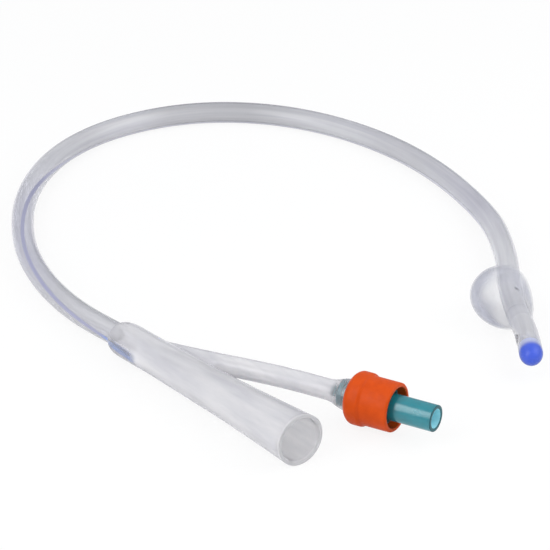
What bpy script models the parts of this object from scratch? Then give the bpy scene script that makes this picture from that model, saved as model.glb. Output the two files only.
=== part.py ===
"""Two-way silicone balloon catheter, 16 Fr, lying on a table as it comes to rest.

Metres, +Z up. The table is z = 0 and the origin is under the centre of the whole outline.
The layout is drawn from the mouth of the moulded collar: x runs along the drainage funnel,
and the inflation arm leaves to +y, on the inner side of the shaft's loop.
"""

import math

import bmesh
import bpy
import numpy as np
from mathutils import Matrix, Vector, geometry

MM = 0.001

# Gaps between pieces: bonded faces, round fits, and shoulders that stop short of a seat
BOND_GAP = 0.05 * MM
ROUND_GAP = 0.08 * MM
SEAT_GAP = 0.10 * MM

# Small edge on moulded rims, and how far a cutter runs past the face that it opens
SMALL_EDGE = 0.20 * MM
CUT_PAST = 2.0 * MM
STEP = 0.01 * MM

# Shaft: extruded tube with a D-shaped drainage lumen and a small inflation lumen
SHAFT_OD = 5.33 * MM
DRAIN_LUMEN_R = 1.85 * MM
DRAIN_LUMEN_OFFSET = 0.25 * MM
DRAIN_LUMEN_FLAT = 1.20 * MM
INFLATION_LUMEN_R = 0.36 * MM
INFLATION_LUMEN_OFFSET = 1.85 * MM
STRIPE_WIDTH = 0.90 * MM
STRIPE_DEPTH = 0.30 * MM
STRIPE_FROM_INFLATION_DEG = 212.0
SHAFT_STATION = 5.0 * MM
SHAFT_IN_COLLAR = 10.0 * MM

# Width of the loop, from the funnel's axis to the shaft's centre line on the far side
LOOP_WIDTH = 116.1 * MM

# Plan route of the shaft from the collar's mouth to the apex of the tip, in millimetres
# as photographed, and scaled to LOOP_WIDTH
ROUTE = [
    (0.0, 0.0), (-14.2, 0.0), (-26.4, 1.6), (-38.1, 4.5), (-49.7, 8.9), (-60.8, 14.9),
    (-71.4, 22.3), (-80.8, 31.0), (-88.5, 40.8), (-94.1, 51.7), (-97.0, 63.5), (-96.8, 75.9),
    (-93.4, 87.8), (-86.6, 98.2), (-77.2, 106.3), (-66.1, 111.8), (-53.8, 115.0), (-41.6, 116.1),
    (-29.2, 115.4), (-17.0, 113.2), (-4.9, 109.5), (6.7, 104.5), (17.4, 98.1), (27.6, 90.9),
    (38.0, 82.7), (48.0, 76.2), (57.6, 70.5), (67.7, 63.3),
]

# Angle of the stripe round the shaft, from the loop's inner side over the top,
# as (distance from the collar's mouth in millimetres of ROUTE, degrees)
STRIPE_TURN = [(-10, 214), (2, 188), (19, 156), (39, 127), (62, 92), (75, 66), (88, 34),
               (100, 3), (112, -23), (128, -39), (154, -46), (200, -40), (240, -20), (262, -16),
               (290, -30), (340, -46)]

# How far along the shaft it settles onto the table, and rises again to the balloon
SETTLE_LENGTH = 36.0 * MM
RISE_LENGTH = 62.0 * MM

# Rounded tip, bonded into the shaft's end
TIP_LENGTH = 5.8 * MM
TIP_DOME_LENGTH = 3.4 * MM
TIP_DOME_DEG = 84.0
TIP_STUB_LENGTH = 3.0 * MM

# Drainage eyes, from the tip's bond towards the balloon, and the port under the balloon
EYE_LENGTH = 3.6 * MM
EYE_WIDTH = 2.0 * MM
EYE_FROM_TIP = (3.6 * MM, 8.4 * MM)
EYE_FROM_INFLATION_DEG = 100.0
PORT_DIAMETER = 0.9 * MM

# Balloon: an eccentric bulge between two bonded cuffs
BALLOON_FROM_APEX = 30.5 * MM
BALLOON_LENGTH = 17.0 * MM
BALLOON_HALF_WIDTH = 7.0 * MM
BALLOON_HALF_HEIGHT = 6.2 * MM
BALLOON_WALL = 0.35 * MM
BALLOON_FULLNESS = 1.15
BALLOON_INWARD = 2.7 * MM
BALLOON_UPWARD = 0.8 * MM
CUFF_LENGTH = 4.0 * MM

# Moulded Y: collar, drainage funnel and inflation arm
Y_LENGTH = 66.2 * MM
COLLAR_HALF_WIDTH = 4.35 * MM
COLLAR_HALF_HEIGHT = 4.0 * MM
COLLAR_SHOULDER = 4.5 * MM
FUNNEL_MOUTH_OD = 11.7 * MM
FUNNEL_MOUTH_WALL = 1.0 * MM
FUNNEL_WAIST_R = 4.55 * MM
FUNNEL_WAIST_WALL = 1.2 * MM
FUNNEL_WAIST_X = 34.2 * MM
NOSE_WALL = 0.25 * MM
COLLAR_LENGTH = 16.0 * MM
FUNNEL_FLARE = 1.4
ARM_HEADING_DEG = 22.0
ARM_OD = 4.8 * MM
ARM_BORE = 1.4 * MM
ARM_ROOT_X = 10.0 * MM
ARM_ROOT_Y = 1.77 * MM
ARM_LENGTH = 51.34 * MM
ARM_STRAIGHT_FROM = -11.7 * MM
BORE_ROUND_BY = 8.0 * MM
LINK_LENGTH = 6.0 * MM
LINK_BORE = 1.0 * MM

# Web in the crotch between the arms: where it ends, and its half thickness on the way there
CROTCH_X = 27.5 * MM
WEB_HALF_THICKNESS = [(0.1, 3.4 * MM), (0.4, 3.0 * MM), (0.8, 2.2 * MM), (0.95, 1.6 * MM),
                      (1.0, 1.0 * MM)]

# Colour sleeve over the joint between arm and valve
SLEEVE_LENGTH = 10.8 * MM
SLEEVE_OD = 11.0 * MM
SLEEVE_BAND_OD = 11.9 * MM
SLEEVE_BAND_START = 0.9 * MM
SLEEVE_BAND_END = 4.2 * MM
SLEEVE_BAND_ROUND = 0.5 * MM
SLEEVE_EDGE = 0.8 * MM

# Silicone of the arm where it stretches over the valve
ARM_END_OD = 7.3 * MM
ARM_END_DEPTH = 3.2 * MM
ARM_FLARE_START = -6.0 * MM
ARM_FLARE_END = -0.8 * MM

# Valve housing: chamber inside the sleeve, seat wall, and the luer tube outside it
HOUSING_TUBE_OD = 5.7 * MM
HOUSING_BACK = -1.4 * MM
FLANGE_OD = 8.9 * MM
FLANGE_THICK = 1.0 * MM
CHAMBER_OD = 6.4 * MM
CHAMBER_BORE = 4.6 * MM
SEAT_X = 7.9 * MM
SEAT_THICK = 1.4 * MM
SEAT_HOLE = 2.7 * MM
FRONT_FLANGE_X = 7.6 * MM
LUER_MOUTH_X = 20.2 * MM
LUER_OD = 5.95 * MM
LUER_BORE = 4.3 * MM
LUER_TAPER = 0.06
LUER_CHAMFER = 0.35 * MM
LUER_FILLET = 0.4 * MM

# Retainer: closes the chamber's back, carries the spring and ends in a short spigot in the arm
RETAINER_DISC_END = 0.3 * MM
RETAINER_BOSS_R = 0.95 * MM
RETAINER_SHOULDER = 1.1 * MM
RETAINER_CONE = 0.7 * MM
SPIGOT_LENGTH = 1.4 * MM
SPIGOT_R = 1.1 * MM
RETAINER_PASSAGE_R = 0.55 * MM

# Plunger, its seal and its spring
PLUNGER_TRAVEL = 1.5 * MM
PLUNGER_HEAD_R = 2.0 * MM
PLUNGER_HEAD_THICK = 1.2 * MM
PLUNGER_GUIDE_R = 1.0 * MM
PLUNGER_GUIDE_LENGTH = 1.4 * MM
PLUNGER_HUB_R = 1.05 * MM
PLUNGER_STEM_R = 0.95 * MM
PLUNGER_RIB = 0.5 * MM
PLUNGER_FROM_MOUTH = 3.0 * MM
SEAL_THICK = 0.9 * MM
SEAL_R = 1.95 * MM
SPRING_TURNS = 6
SPRING_MEAN_R = 1.5 * MM
SPRING_WIRE_R = 0.16 * MM

# Facets
SHAFT_SIDES = 18
LUMEN_SIDES = 12
SMALL_SIDES = 6
ROUND_SIDES = 24
FINE_SIDES = 16
COLLAR_STEPS = 4
FLARE_STEPS = 5
DOME_STEPS = 5
BALLOON_STEPS = 12
SPRING_STEPS = 10


def material(name, colour, roughness, metallic=0.0, alpha=1.0):
    """A Principled material with the piece's own colour."""
    made = bpy.data.materials.new(name)
    made.use_nodes = True
    shader = made.node_tree.nodes["Principled BSDF"]
    shader.inputs["Base Color"].default_value = (*colour, 1.0)
    shader.inputs["Roughness"].default_value = roughness
    shader.inputs["Metallic"].default_value = metallic
    shader.inputs["Alpha"].default_value = alpha
    made.diffuse_color = (*colour, alpha)
    return made


def add_object(name, mesh, coating=None, parent=None):
    """Put a mesh in the scene, shaded smooth apart from its sharp edges."""
    mesh.shade_smooth()
    mesh.set_sharp_from_angle(angle=math.radians(35))
    piece = bpy.data.objects.new(name, mesh)
    bpy.context.collection.objects.link(piece)
    piece.parent = parent
    if coating:
        mesh.materials.append(coating)
    return piece


def mesh_from(name, points, faces):
    """A mesh with its faces turned outwards."""
    mesh = bpy.data.meshes.new(name)
    mesh.from_pydata(points, [], faces)
    shell = bmesh.new()
    shell.from_mesh(mesh)
    bmesh.ops.recalc_face_normals(shell, faces=shell.faces)
    shell.to_mesh(mesh)
    shell.free()
    return mesh


def wall_between(first, second, count):
    """Quads between two loops of count points that start at first and second."""
    quads = []
    for i in range(count):
        j = (i + 1) % count
        quads.append((first + i, first + j, second + j, second + i))
    return quads


def loft(name, rings):
    """A solid through rings of equal count, with a flat face on each end."""
    count = len(rings[0])
    points = [point for ring in rings for point in ring]
    faces = []
    for k in range(len(rings) - 1):
        faces += wall_between(k * count, (k + 1) * count, count)
    faces.append(tuple(range(count)))
    faces.append(tuple(range((len(rings) - 1) * count, len(rings) * count)))
    return mesh_from(name, points, faces)


def loft_loop(name, rings):
    """A solid whose last ring joins its first, such as a thin shell with an open end each side."""
    count = len(rings[0])
    points = [point for ring in rings for point in ring]
    faces = []
    for k in range(len(rings)):
        faces += wall_between(k * count, ((k + 1) % len(rings)) * count, count)
    return mesh_from(name, points, faces)


def loft_with_holes(name, stations):
    """A solid through stations, each an outer loop followed by the loops of its holes."""
    sizes = [len(loop) for loop in stations[0]]
    starts = [sum(sizes[:i]) for i in range(len(sizes))]
    per_station = sum(sizes)
    points = [point for station in stations for loop in station for point in loop]
    faces = []
    for k in range(len(stations) - 1):
        for start, size in zip(starts, sizes):
            faces += wall_between(k * per_station + start, (k + 1) * per_station + start, size)
    cap = geometry.tessellate_polygon(stations[0])
    last = (len(stations) - 1) * per_station
    faces += [tuple(corners) for corners in cap]
    faces += [tuple(last + corner for corner in corners) for corners in cap]
    return mesh_from(name, points, faces)


def ring_about(centre, side, up, radius, sides, radius_up=None):
    """Points of a circle or ellipse round centre, in the plane of side and up."""
    height = radius if radius_up is None else radius_up
    ring = []
    for i in range(sides):
        angle = math.tau * i / sides
        ring.append(centre + side * (radius * math.cos(angle)) + up * (height * math.sin(angle)))
    return ring


def turned(name, profile, sides, coating=None, parent=None, solid=False):
    """Turn (x, radius) corners about the x axis: a ring if closed, else a solid on the axis."""
    x_axis = Vector((1, 0, 0))
    side = Vector((0, 1, 0))
    up = Vector((0, 0, 1))
    rings = [ring_about(x_axis * x, side, up, radius, sides) for x, radius in profile]
    mesh = loft(name, rings) if solid else loft_loop(name, rings)
    return add_object(name, mesh, coating, parent)


def combine(target, tool, operation):
    """Join or cut target with tool, and remove the tool."""
    change = target.modifiers.new(operation.title(), "BOOLEAN")
    change.operation = operation
    change.solver = "EXACT"
    change.object = tool
    bpy.context.view_layer.update()
    graph = bpy.context.evaluated_depsgraph_get()
    mesh = bpy.data.meshes.new_from_object(target.evaluated_get(graph))
    target.modifiers.clear()
    target.data = mesh
    bpy.data.objects.remove(tool)


def natural_spline(knots, values, at):
    """Smooth curve through values at knots, with no bend at its two ends."""
    knots = np.array(knots, dtype=float)
    values = np.array(values, dtype=float).reshape(len(knots), -1)
    gaps = np.diff(knots)
    slopes = np.diff(values, axis=0) / gaps[:, None]
    count = len(knots)
    system = np.eye(count)
    wanted = np.zeros_like(values)
    for i in range(1, count - 1):
        system[i, i - 1] = gaps[i - 1]
        system[i, i] = 2 * (gaps[i - 1] + gaps[i])
        system[i, i + 1] = gaps[i]
        wanted[i] = 6 * (slopes[i] - slopes[i - 1])
    bend = np.linalg.solve(system, wanted)
    at = np.clip(np.asarray(at, dtype=float), knots[0], knots[-1])
    k = np.clip(np.searchsorted(knots, at, side="right") - 1, 0, count - 2)
    after = (knots[k + 1] - at)[:, None]
    before = (at - knots[k])[:, None]
    gap = gaps[k][:, None]
    line = (bend[k] * after ** 3 + bend[k + 1] * before ** 3) / (6 * gap)
    line += (values[k] / gap - bend[k] * gap / 6) * after
    line += (values[k + 1] / gap - bend[k + 1] * gap / 6) * before
    return line


def ease(share):
    """A smooth step from 0 to 1."""
    share = min(max(share, 0.0), 1.0)
    return share * share * (3 - 2 * share)


ROUTE_SCALE = LOOP_WIDTH / (max(y for _, y in ROUTE) * MM)
SHAFT_R = SHAFT_OD / 2
FUNNEL_MOUTH_R = FUNNEL_MOUTH_OD / 2
Y_RISE = (FUNNEL_MOUTH_R - COLLAR_HALF_HEIGHT) / (Y_LENGTH - COLLAR_SHOULDER)
BALLOON_SHAFT_HEIGHT = BALLOON_HALF_HEIGHT - BALLOON_UPWARD
VALVE_HEIGHT = SLEEVE_BAND_OD / 2
CONE_START = HOUSING_BACK - SEAT_GAP - RETAINER_SHOULDER - RETAINER_CONE
SPIGOT_END = CONE_START - SPIGOT_LENGTH

# The arm's direction in plan, and the inner face of the colour sleeve at its end
ARM_ALONG = Vector((math.cos(math.radians(ARM_HEADING_DEG)), math.sin(math.radians(ARM_HEADING_DEG))))
SLEEVE_FACE = Vector((ARM_ROOT_X, ARM_ROOT_Y)) + ARM_ALONG * ARM_LENGTH


def funnel_height(x):
    """Height of the funnel's axis: the collar and the mouth both rest on the table."""
    return COLLAR_HALF_HEIGHT + Y_RISE * (x - COLLAR_SHOULDER)


class ShaftLine:
    """Centre line of the shaft, by distance from the collar's mouth."""

    def __init__(self):
        plan = np.array(ROUTE) * MM * ROUTE_SCALE
        chords = np.r_[0, np.cumsum(np.linalg.norm(np.diff(plan, axis=0), axis=1))]
        dense = np.linspace(0, chords[-1], 2000)
        self.plan = natural_spline(chords, plan, dense)
        self.along = np.r_[0, np.cumsum(np.linalg.norm(np.diff(self.plan, axis=0), axis=1))]
        self.length = float(self.along[-1])

    def height(self, distance):
        """Out of the collar, down to the table, along it, and up to the balloon."""
        start = funnel_height(0.0)
        if distance < SETTLE_LENGTH:
            share = distance / SETTLE_LENGTH
            drop = start + (SHAFT_R - start) * ease(share)
            return drop - Y_RISE * distance * (1 - share) ** 2
        rise_end = self.length - BALLOON_FROM_APEX - BALLOON_LENGTH / 2
        share = (distance - rise_end + RISE_LENGTH) / RISE_LENGTH
        return SHAFT_R + (BALLOON_SHAFT_HEIGHT - SHAFT_R) * ease(share)

    def point(self, distance):
        """A place on the line. Below zero it runs straight into the collar."""
        if distance < 0:
            return Vector((-distance, 0.0, funnel_height(-distance)))
        x = np.interp(distance, self.along, self.plan[:, 0])
        y = np.interp(distance, self.along, self.plan[:, 1])
        return Vector((x, y, self.height(distance)))

    def frame(self, distance):
        """Place, direction, and the section's inward and upward directions."""
        step = 0.5 * MM
        ahead = self.point(min(distance + step, self.length))
        behind = self.point(min(distance, self.length - step) - step)
        along = (ahead - behind).normalized()
        inward = along.cross(Vector((0, 0, 1))).normalized()
        return self.point(distance), along, inward, inward.cross(along)

    def section(self, distance, corners, turn_deg):
        """Place section corners, given as (radius, degrees), turned about the line."""
        centre, _, inward, up = self.frame(distance)
        ring = []
        for radius, degrees in corners:
            angle = math.radians(degrees + turn_deg)
            ring.append(centre + inward * (radius * math.cos(angle)) + up * (radius * math.sin(angle)))
        return ring


def stripe_turn(distance):
    """Angle of the stripe at a distance from the collar's mouth, in degrees."""
    knots = [place * MM * ROUTE_SCALE for place, _ in STRIPE_TURN]
    return float(natural_spline(knots, [turn for _, turn in STRIPE_TURN], [distance])[0, 0])


def off_centre(offset, corners):
    """Polar corners about the shaft's axis for corners about a point offset along 0 degrees."""
    moved = []
    for radius, degrees in corners:
        x = offset + radius * math.cos(math.radians(degrees))
        y = radius * math.sin(math.radians(degrees))
        moved.append((math.hypot(x, y), math.degrees(math.atan2(y, x))))
    return moved


def stripe_half_angle(inset=0.0):
    """Half of the angle that the stripe takes at the shaft's surface."""
    return math.degrees((STRIPE_WIDTH / 2 - inset) / SHAFT_R)


def shaft_outline():
    """Outer corners of the shaft's section, with the stripe's notch at 0 degrees."""
    half = stripe_half_angle()
    step = (360 - 2 * half) / SHAFT_SIDES
    corners = [(SHAFT_R, half + step * i) for i in range(SHAFT_SIDES + 1)]
    notch_floor = SHAFT_R - STRIPE_DEPTH
    return corners + [(notch_floor, -half), (notch_floor, half)]


def drain_outline(inset=0.0):
    """D-shaped drainage lumen, its flat towards the inflation lumen at 0 degrees."""
    corners = []
    for i in range(LUMEN_SIDES):
        degrees = 360 * (i + 0.5) / LUMEN_SIDES
        reach = DRAIN_LUMEN_R - inset
        towards_flat = math.cos(math.radians(degrees))
        if towards_flat > 0:
            reach = min(reach, (DRAIN_LUMEN_FLAT - inset) / towards_flat)
        corners.append((reach, degrees))
    return off_centre(-DRAIN_LUMEN_OFFSET, corners)


def inflation_outline():
    """Small round inflation lumen."""
    corners = [(INFLATION_LUMEN_R, 360 * i / SMALL_SIDES) for i in range(SMALL_SIDES)]
    return off_centre(INFLATION_LUMEN_OFFSET, corners)


def inflation_turn(distance):
    """Angle of the inflation lumen, fixed to the stripe by the extrusion."""
    return stripe_turn(distance) - STRIPE_FROM_INFLATION_DEG


def stations(start, end, spacing):
    """Even steps from start to end, no longer than spacing."""
    count = max(2, math.ceil((end - start) / spacing) + 1)
    return [start + (end - start) * i / (count - 1) for i in range(count)]


def make_shaft(line, shaft_end, parent):
    """Extruded tube with both lumens, the stripe's notch, two eyes and the balloon's port."""
    rings = []
    for distance in stations(-SHAFT_IN_COLLAR, shaft_end, SHAFT_STATION):
        turn = stripe_turn(distance)
        inner = inflation_turn(distance)
        rings.append([line.section(distance, shaft_outline(), turn),
                      line.section(distance, drain_outline(), inner),
                      line.section(distance, inflation_outline(), inner)])
    mesh = loft_with_holes("catheter_shaft", rings)
    clear = material("clear silicone", (0.80, 0.80, 0.85), 0.35, alpha=0.6)
    shaft = add_object("catheter_shaft", mesh, clear, parent)

    for number, back in enumerate(EYE_FROM_TIP):
        distance = shaft_end - back
        centre, along, inward, up = line.frame(distance)
        side = EYE_FROM_INFLATION_DEG if number else -EYE_FROM_INFLATION_DEG
        angle = math.radians(inflation_turn(distance) + side)
        out = inward * math.cos(angle) + up * math.sin(angle)
        eye = slot_cutter("eye", along, out, EYE_LENGTH, EYE_WIDTH, DRAIN_LUMEN_R / 2,
                          SHAFT_R + CUT_PAST)
        place_cutter(eye, centre, parent)
        combine(shaft, eye, "DIFFERENCE")

    distance = line.length - BALLOON_FROM_APEX
    centre, along, inward, up = line.frame(distance)
    angle = math.radians(inflation_turn(distance))
    out = inward * math.cos(angle) + up * math.sin(angle)
    port = slot_cutter("port", along, out, PORT_DIAMETER, PORT_DIAMETER,
                       INFLATION_LUMEN_OFFSET, SHAFT_R + CUT_PAST)
    place_cutter(port, centre, parent)
    combine(shaft, port, "DIFFERENCE")
    return shaft


def slot_cutter(name, along, out, length, width, near, far):
    """An oval prism that cuts from near to far along the out direction."""
    across = out.cross(along)
    rings = [ring_about(out * reach, along, across, length / 2, LUMEN_SIDES, width / 2)
             for reach in (near, far)]
    return add_object(name, loft(name, rings))


def place_cutter(cutter, centre, parent):
    """Move a cutter to a place given in the layout."""
    cutter.parent = parent
    cutter.location = centre
    cutter.hide_render = True
    cutter.display_type = "WIRE"


def make_stripe(line, shaft_end, parent):
    """X-ray line, co-extruded in the shaft's notch."""
    half = stripe_half_angle(BOND_GAP)
    floor = SHAFT_R - STRIPE_DEPTH + BOND_GAP
    corners = [(SHAFT_R, half), (SHAFT_R, -half), (floor, -half), (floor, half)]
    rings = [line.section(distance, corners, stripe_turn(distance))
             for distance in stations(-SHAFT_IN_COLLAR, shaft_end, SHAFT_STATION)]
    blue = material("x-ray line blue", (0.35, 0.38, 0.75), 0.4)
    return add_object("xray_line", loft("xray_line", rings), blue, parent)


def make_tip(line, shaft_end, parent):
    """Rounded solid tip with a stub that closes both lumens."""
    turn = inflation_turn(shaft_end)
    end, along, inward, up = line.frame(shaft_end)
    stub = [(reach, degrees + turn) for reach, degrees in drain_outline(BOND_GAP)]
    rings = []
    for depth in (-TIP_STUB_LENGTH, SEAT_GAP * 2):
        rings.append([end + along * depth
                      + inward * (reach * math.cos(math.radians(degrees)))
                      + up * (reach * math.sin(math.radians(degrees))) for reach, degrees in stub])
    tip_stub = add_object("stub", loft("stub", rings), None, parent)

    straight = TIP_LENGTH - TIP_DOME_LENGTH
    profile = [(BOND_GAP, SHAFT_R), (straight, SHAFT_R)]
    for i in range(1, DOME_STEPS + 1):
        angle = math.radians(TIP_DOME_DEG) * i / DOME_STEPS
        profile.append((straight + TIP_DOME_LENGTH * math.sin(angle), SHAFT_R * math.cos(angle)))
    rings = [ring_about(end + along * x, inward, up, radius, ROUND_SIDES) for x, radius in profile]
    royal = material("royal blue silicone", (0.06, 0.10, 0.72), 0.35)
    tip = add_object("rounded_tip", loft("rounded_tip", rings), royal, parent)
    combine(tip, tip_stub, "UNION")
    return tip


def make_balloon(line, parent):
    """Thin eccentric balloon, part filled, bonded to the shaft at both cuffs."""
    middle = line.length - BALLOON_FROM_APEX
    half = BALLOON_LENGTH / 2
    bore = SHAFT_R + ROUND_GAP
    places = [(-half - CUFF_LENGTH, 0.0), (-half, 0.0)]
    for i in range(1, BALLOON_STEPS):
        angle = math.pi * i / BALLOON_STEPS
        places.append((-half * math.cos(angle), math.sin(angle) ** BALLOON_FULLNESS))
    places += [(half, 0.0), (half + CUFF_LENGTH, 0.0)]

    def ring(place, bulge, wall):
        across = bore + (BALLOON_HALF_WIDTH - BALLOON_WALL - bore) * bulge + wall
        height = bore + (BALLOON_HALF_HEIGHT - BALLOON_WALL - bore) * bulge + wall
        centre, _, inward, up = line.frame(middle + place)
        centre = centre + inward * (BALLOON_INWARD * bulge) + up * (BALLOON_UPWARD * bulge)
        return ring_about(centre, inward, up, across, ROUND_SIDES, height)

    rings = [ring(place, bulge, BALLOON_WALL) for place, bulge in places]
    rings += [ring(place, bulge, 0.0) for place, bulge in reversed(places)]
    thin = material("thin clear silicone", (0.86, 0.87, 0.92), 0.2, alpha=0.4)
    return add_object("balloon", loft_loop("balloon", rings), thin, parent)


def valve_matrix():
    """The valve's axes in the layout: x along the luer, level, resting on the sleeve's band."""
    turn = Matrix.Rotation(math.radians(ARM_HEADING_DEG), 4, "Z")
    return Matrix.Translation(Vector((*SLEEVE_FACE, VALVE_HEIGHT))) @ turn


def arm_centre(x):
    """A place on the arm's line, by distance along the valve axis from the sleeve's face."""
    plan = SLEEVE_FACE + ARM_ALONG * x
    share = ease((x + ARM_LENGTH) / (ARM_STRAIGHT_FROM + ARM_LENGTH))
    low = funnel_height(ARM_ROOT_X)
    return Vector((plan.x, plan.y, low + (VALVE_HEIGHT - low) * share))


def arm_sweep(name, corners, sides):
    """A round solid on the arm's line through (place, radius) corners."""
    side = Vector((-ARM_ALONG.y, ARM_ALONG.x, 0))
    up = Vector((0, 0, 1))
    return loft(name, [ring_about(arm_centre(x), side, up, radius, sides) for x, radius in corners])


def make_y_funnel(parent):
    """Moulded Y: collar over the shaft's end, drainage funnel, web and inflation arm."""
    side = Vector((0, 1, 0))
    up = Vector((0, 0, 1))

    def upright(x, half_width, half_height, y=0.0):
        centre = Vector((x, y, funnel_height(x)))
        return ring_about(centre, side, up, half_width, ROUND_SIDES, half_height)

    nose = SHAFT_R + NOSE_WALL
    outline = []
    for i in range(COLLAR_STEPS + 1):
        angle = math.pi / 2 * i / COLLAR_STEPS
        outline.append((COLLAR_SHOULDER * (1 - math.cos(angle)),
                        nose + (COLLAR_HALF_WIDTH - nose) * math.sin(angle),
                        nose + (COLLAR_HALF_HEIGHT - nose) * math.sin(angle)))
    outline.append((COLLAR_LENGTH, COLLAR_HALF_WIDTH, COLLAR_HALF_HEIGHT))
    outline.append((FUNNEL_WAIST_X, FUNNEL_WAIST_R, FUNNEL_WAIST_R))
    for i in range(1, FLARE_STEPS + 1):
        share = i / FLARE_STEPS
        radius = FUNNEL_WAIST_R + (FUNNEL_MOUTH_R - FUNNEL_WAIST_R) * share ** FUNNEL_FLARE
        outline.append((FUNNEL_WAIST_X + (Y_LENGTH - FUNNEL_WAIST_X) * share, radius, radius))
    silicone = material("moulded silicone", (0.84, 0.84, 0.86), 0.4, alpha=0.7)
    mesh = loft("y_funnel", [upright(*corner) for corner in outline])
    y_funnel = add_object("y_funnel", mesh, silicone, parent)

    arm_r = ARM_OD / 2
    end_r = ARM_END_OD / 2
    corners = [(-ARM_LENGTH, arm_r), (-ARM_LENGTH / 2, arm_r), (ARM_STRAIGHT_FROM, arm_r)]
    for i in range(FLARE_STEPS):
        share = i / (FLARE_STEPS - 1)
        corners.append((ARM_FLARE_START + (ARM_FLARE_END - ARM_FLARE_START) * share,
                        arm_r + (end_r - arm_r) * ease(share)))
    corners.append((ARM_END_DEPTH, end_r))
    arm = arm_sweep("arm", corners, ROUND_SIDES)
    combine(y_funnel, add_object("arm", arm, None, parent), "UNION")

    web_rings = []
    for share, thickness in WEB_HALF_THICKNESS:
        x = ARM_ROOT_X + (CROTCH_X - ARM_ROOT_X) * share
        arm_y = arm_centre((x - SLEEVE_FACE.x) / ARM_ALONG.x).y
        web_rings.append(upright(x, arm_y / 2, thickness, arm_y / 2))
    combine(y_funnel, add_object("web", loft("web", web_rings), None, parent), "UNION")

    mouth_bore = FUNNEL_MOUTH_R - FUNNEL_MOUTH_WALL
    waist_bore = FUNNEL_WAIST_R - FUNNEL_WAIST_WALL
    socket = SHAFT_R + ROUND_GAP
    start = SHAFT_IN_COLLAR + 2 * SEAT_GAP
    flat = DRAIN_LUMEN_FLAT - DRAIN_LUMEN_OFFSET
    lumen = upright(start + STEP, DRAIN_LUMEN_R, DRAIN_LUMEN_R)
    for corner in lumen:
        corner.y = min(corner.y, flat)
    bore_rings = [upright(-CUT_PAST, socket, socket), upright(start, socket, socket), lumen,
                  upright(start + BORE_ROUND_BY, DRAIN_LUMEN_R, DRAIN_LUMEN_R),
                  upright(FUNNEL_WAIST_X, waist_bore, waist_bore),
                  upright(Y_LENGTH, mouth_bore, mouth_bore),
                  upright(Y_LENGTH + CUT_PAST, mouth_bore, mouth_bore)]
    combine(y_funnel, add_object("bore", loft("bore", bore_rings), None, parent), "DIFFERENCE")

    spigot_room = SPIGOT_R + BOND_GAP
    tube_room = HOUSING_TUBE_OD / 2 + BOND_GAP
    passage = arm_sweep("passage", [(-ARM_LENGTH, ARM_BORE / 2), (SPIGOT_END - SEAT_GAP, ARM_BORE / 2),
                                    (SPIGOT_END - SEAT_GAP + STEP, spigot_room),
                                    (CONE_START - BOND_GAP, spigot_room),
                                    (CONE_START + RETAINER_CONE - BOND_GAP, tube_room),
                                    (ARM_END_DEPTH + CUT_PAST, tube_room)], FINE_SIDES)
    combine(y_funnel, add_object("passage", passage, None, parent), "DIFFERENCE")

    link_start = inflation_opening()
    link_end = arm_centre(LINK_LENGTH - ARM_LENGTH)
    along = (link_end - link_start).normalized()
    across = along.cross(up).normalized()
    link_rings = [ring_about(place, across, across.cross(along), LINK_BORE / 2, SMALL_SIDES)
                  for place in (link_start, link_end)]
    combine(y_funnel, add_object("link", loft("link", link_rings), None, parent), "DIFFERENCE")
    return y_funnel


def inflation_opening():
    """Where the inflation lumen opens at the shaft's end in the collar."""
    angle = math.radians(inflation_turn(-SHAFT_IN_COLLAR))
    reach = INFLATION_LUMEN_OFFSET
    height = funnel_height(SHAFT_IN_COLLAR)
    return Vector((SHAFT_IN_COLLAR, reach * math.cos(angle), height + reach * math.sin(angle)))


def make_sleeve(parent):
    """Colour-coded sleeve: a raised band at its inner end and an open recess at its outer end."""
    band_r = SLEEVE_BAND_OD / 2
    body_r = SLEEVE_OD / 2
    lip_bore = ARM_END_OD / 2 + SEAT_GAP
    bore = FLANGE_OD / 2 + SEAT_GAP
    step = ARM_END_DEPTH + SEAT_GAP
    edge = SLEEVE_EDGE
    profile = [(0.0, lip_bore), (0.0, body_r - edge), (edge * 0.4, body_r - edge * 0.3),
               (SLEEVE_BAND_START, band_r - SMALL_EDGE),
               (SLEEVE_BAND_START + SLEEVE_BAND_ROUND, band_r),
               (SLEEVE_BAND_END - SLEEVE_BAND_ROUND, band_r), (SLEEVE_BAND_END, body_r),
               (SLEEVE_LENGTH - edge * 0.4, body_r), (SLEEVE_LENGTH, body_r - edge * 0.4),
               (SLEEVE_LENGTH, bore), (step, bore), (step, lip_bore)]
    orange = material("orange sleeve", (0.85, 0.22, 0.03), 0.45)
    return turned("colour_sleeve", profile, ROUND_SIDES, orange, parent)


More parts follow.
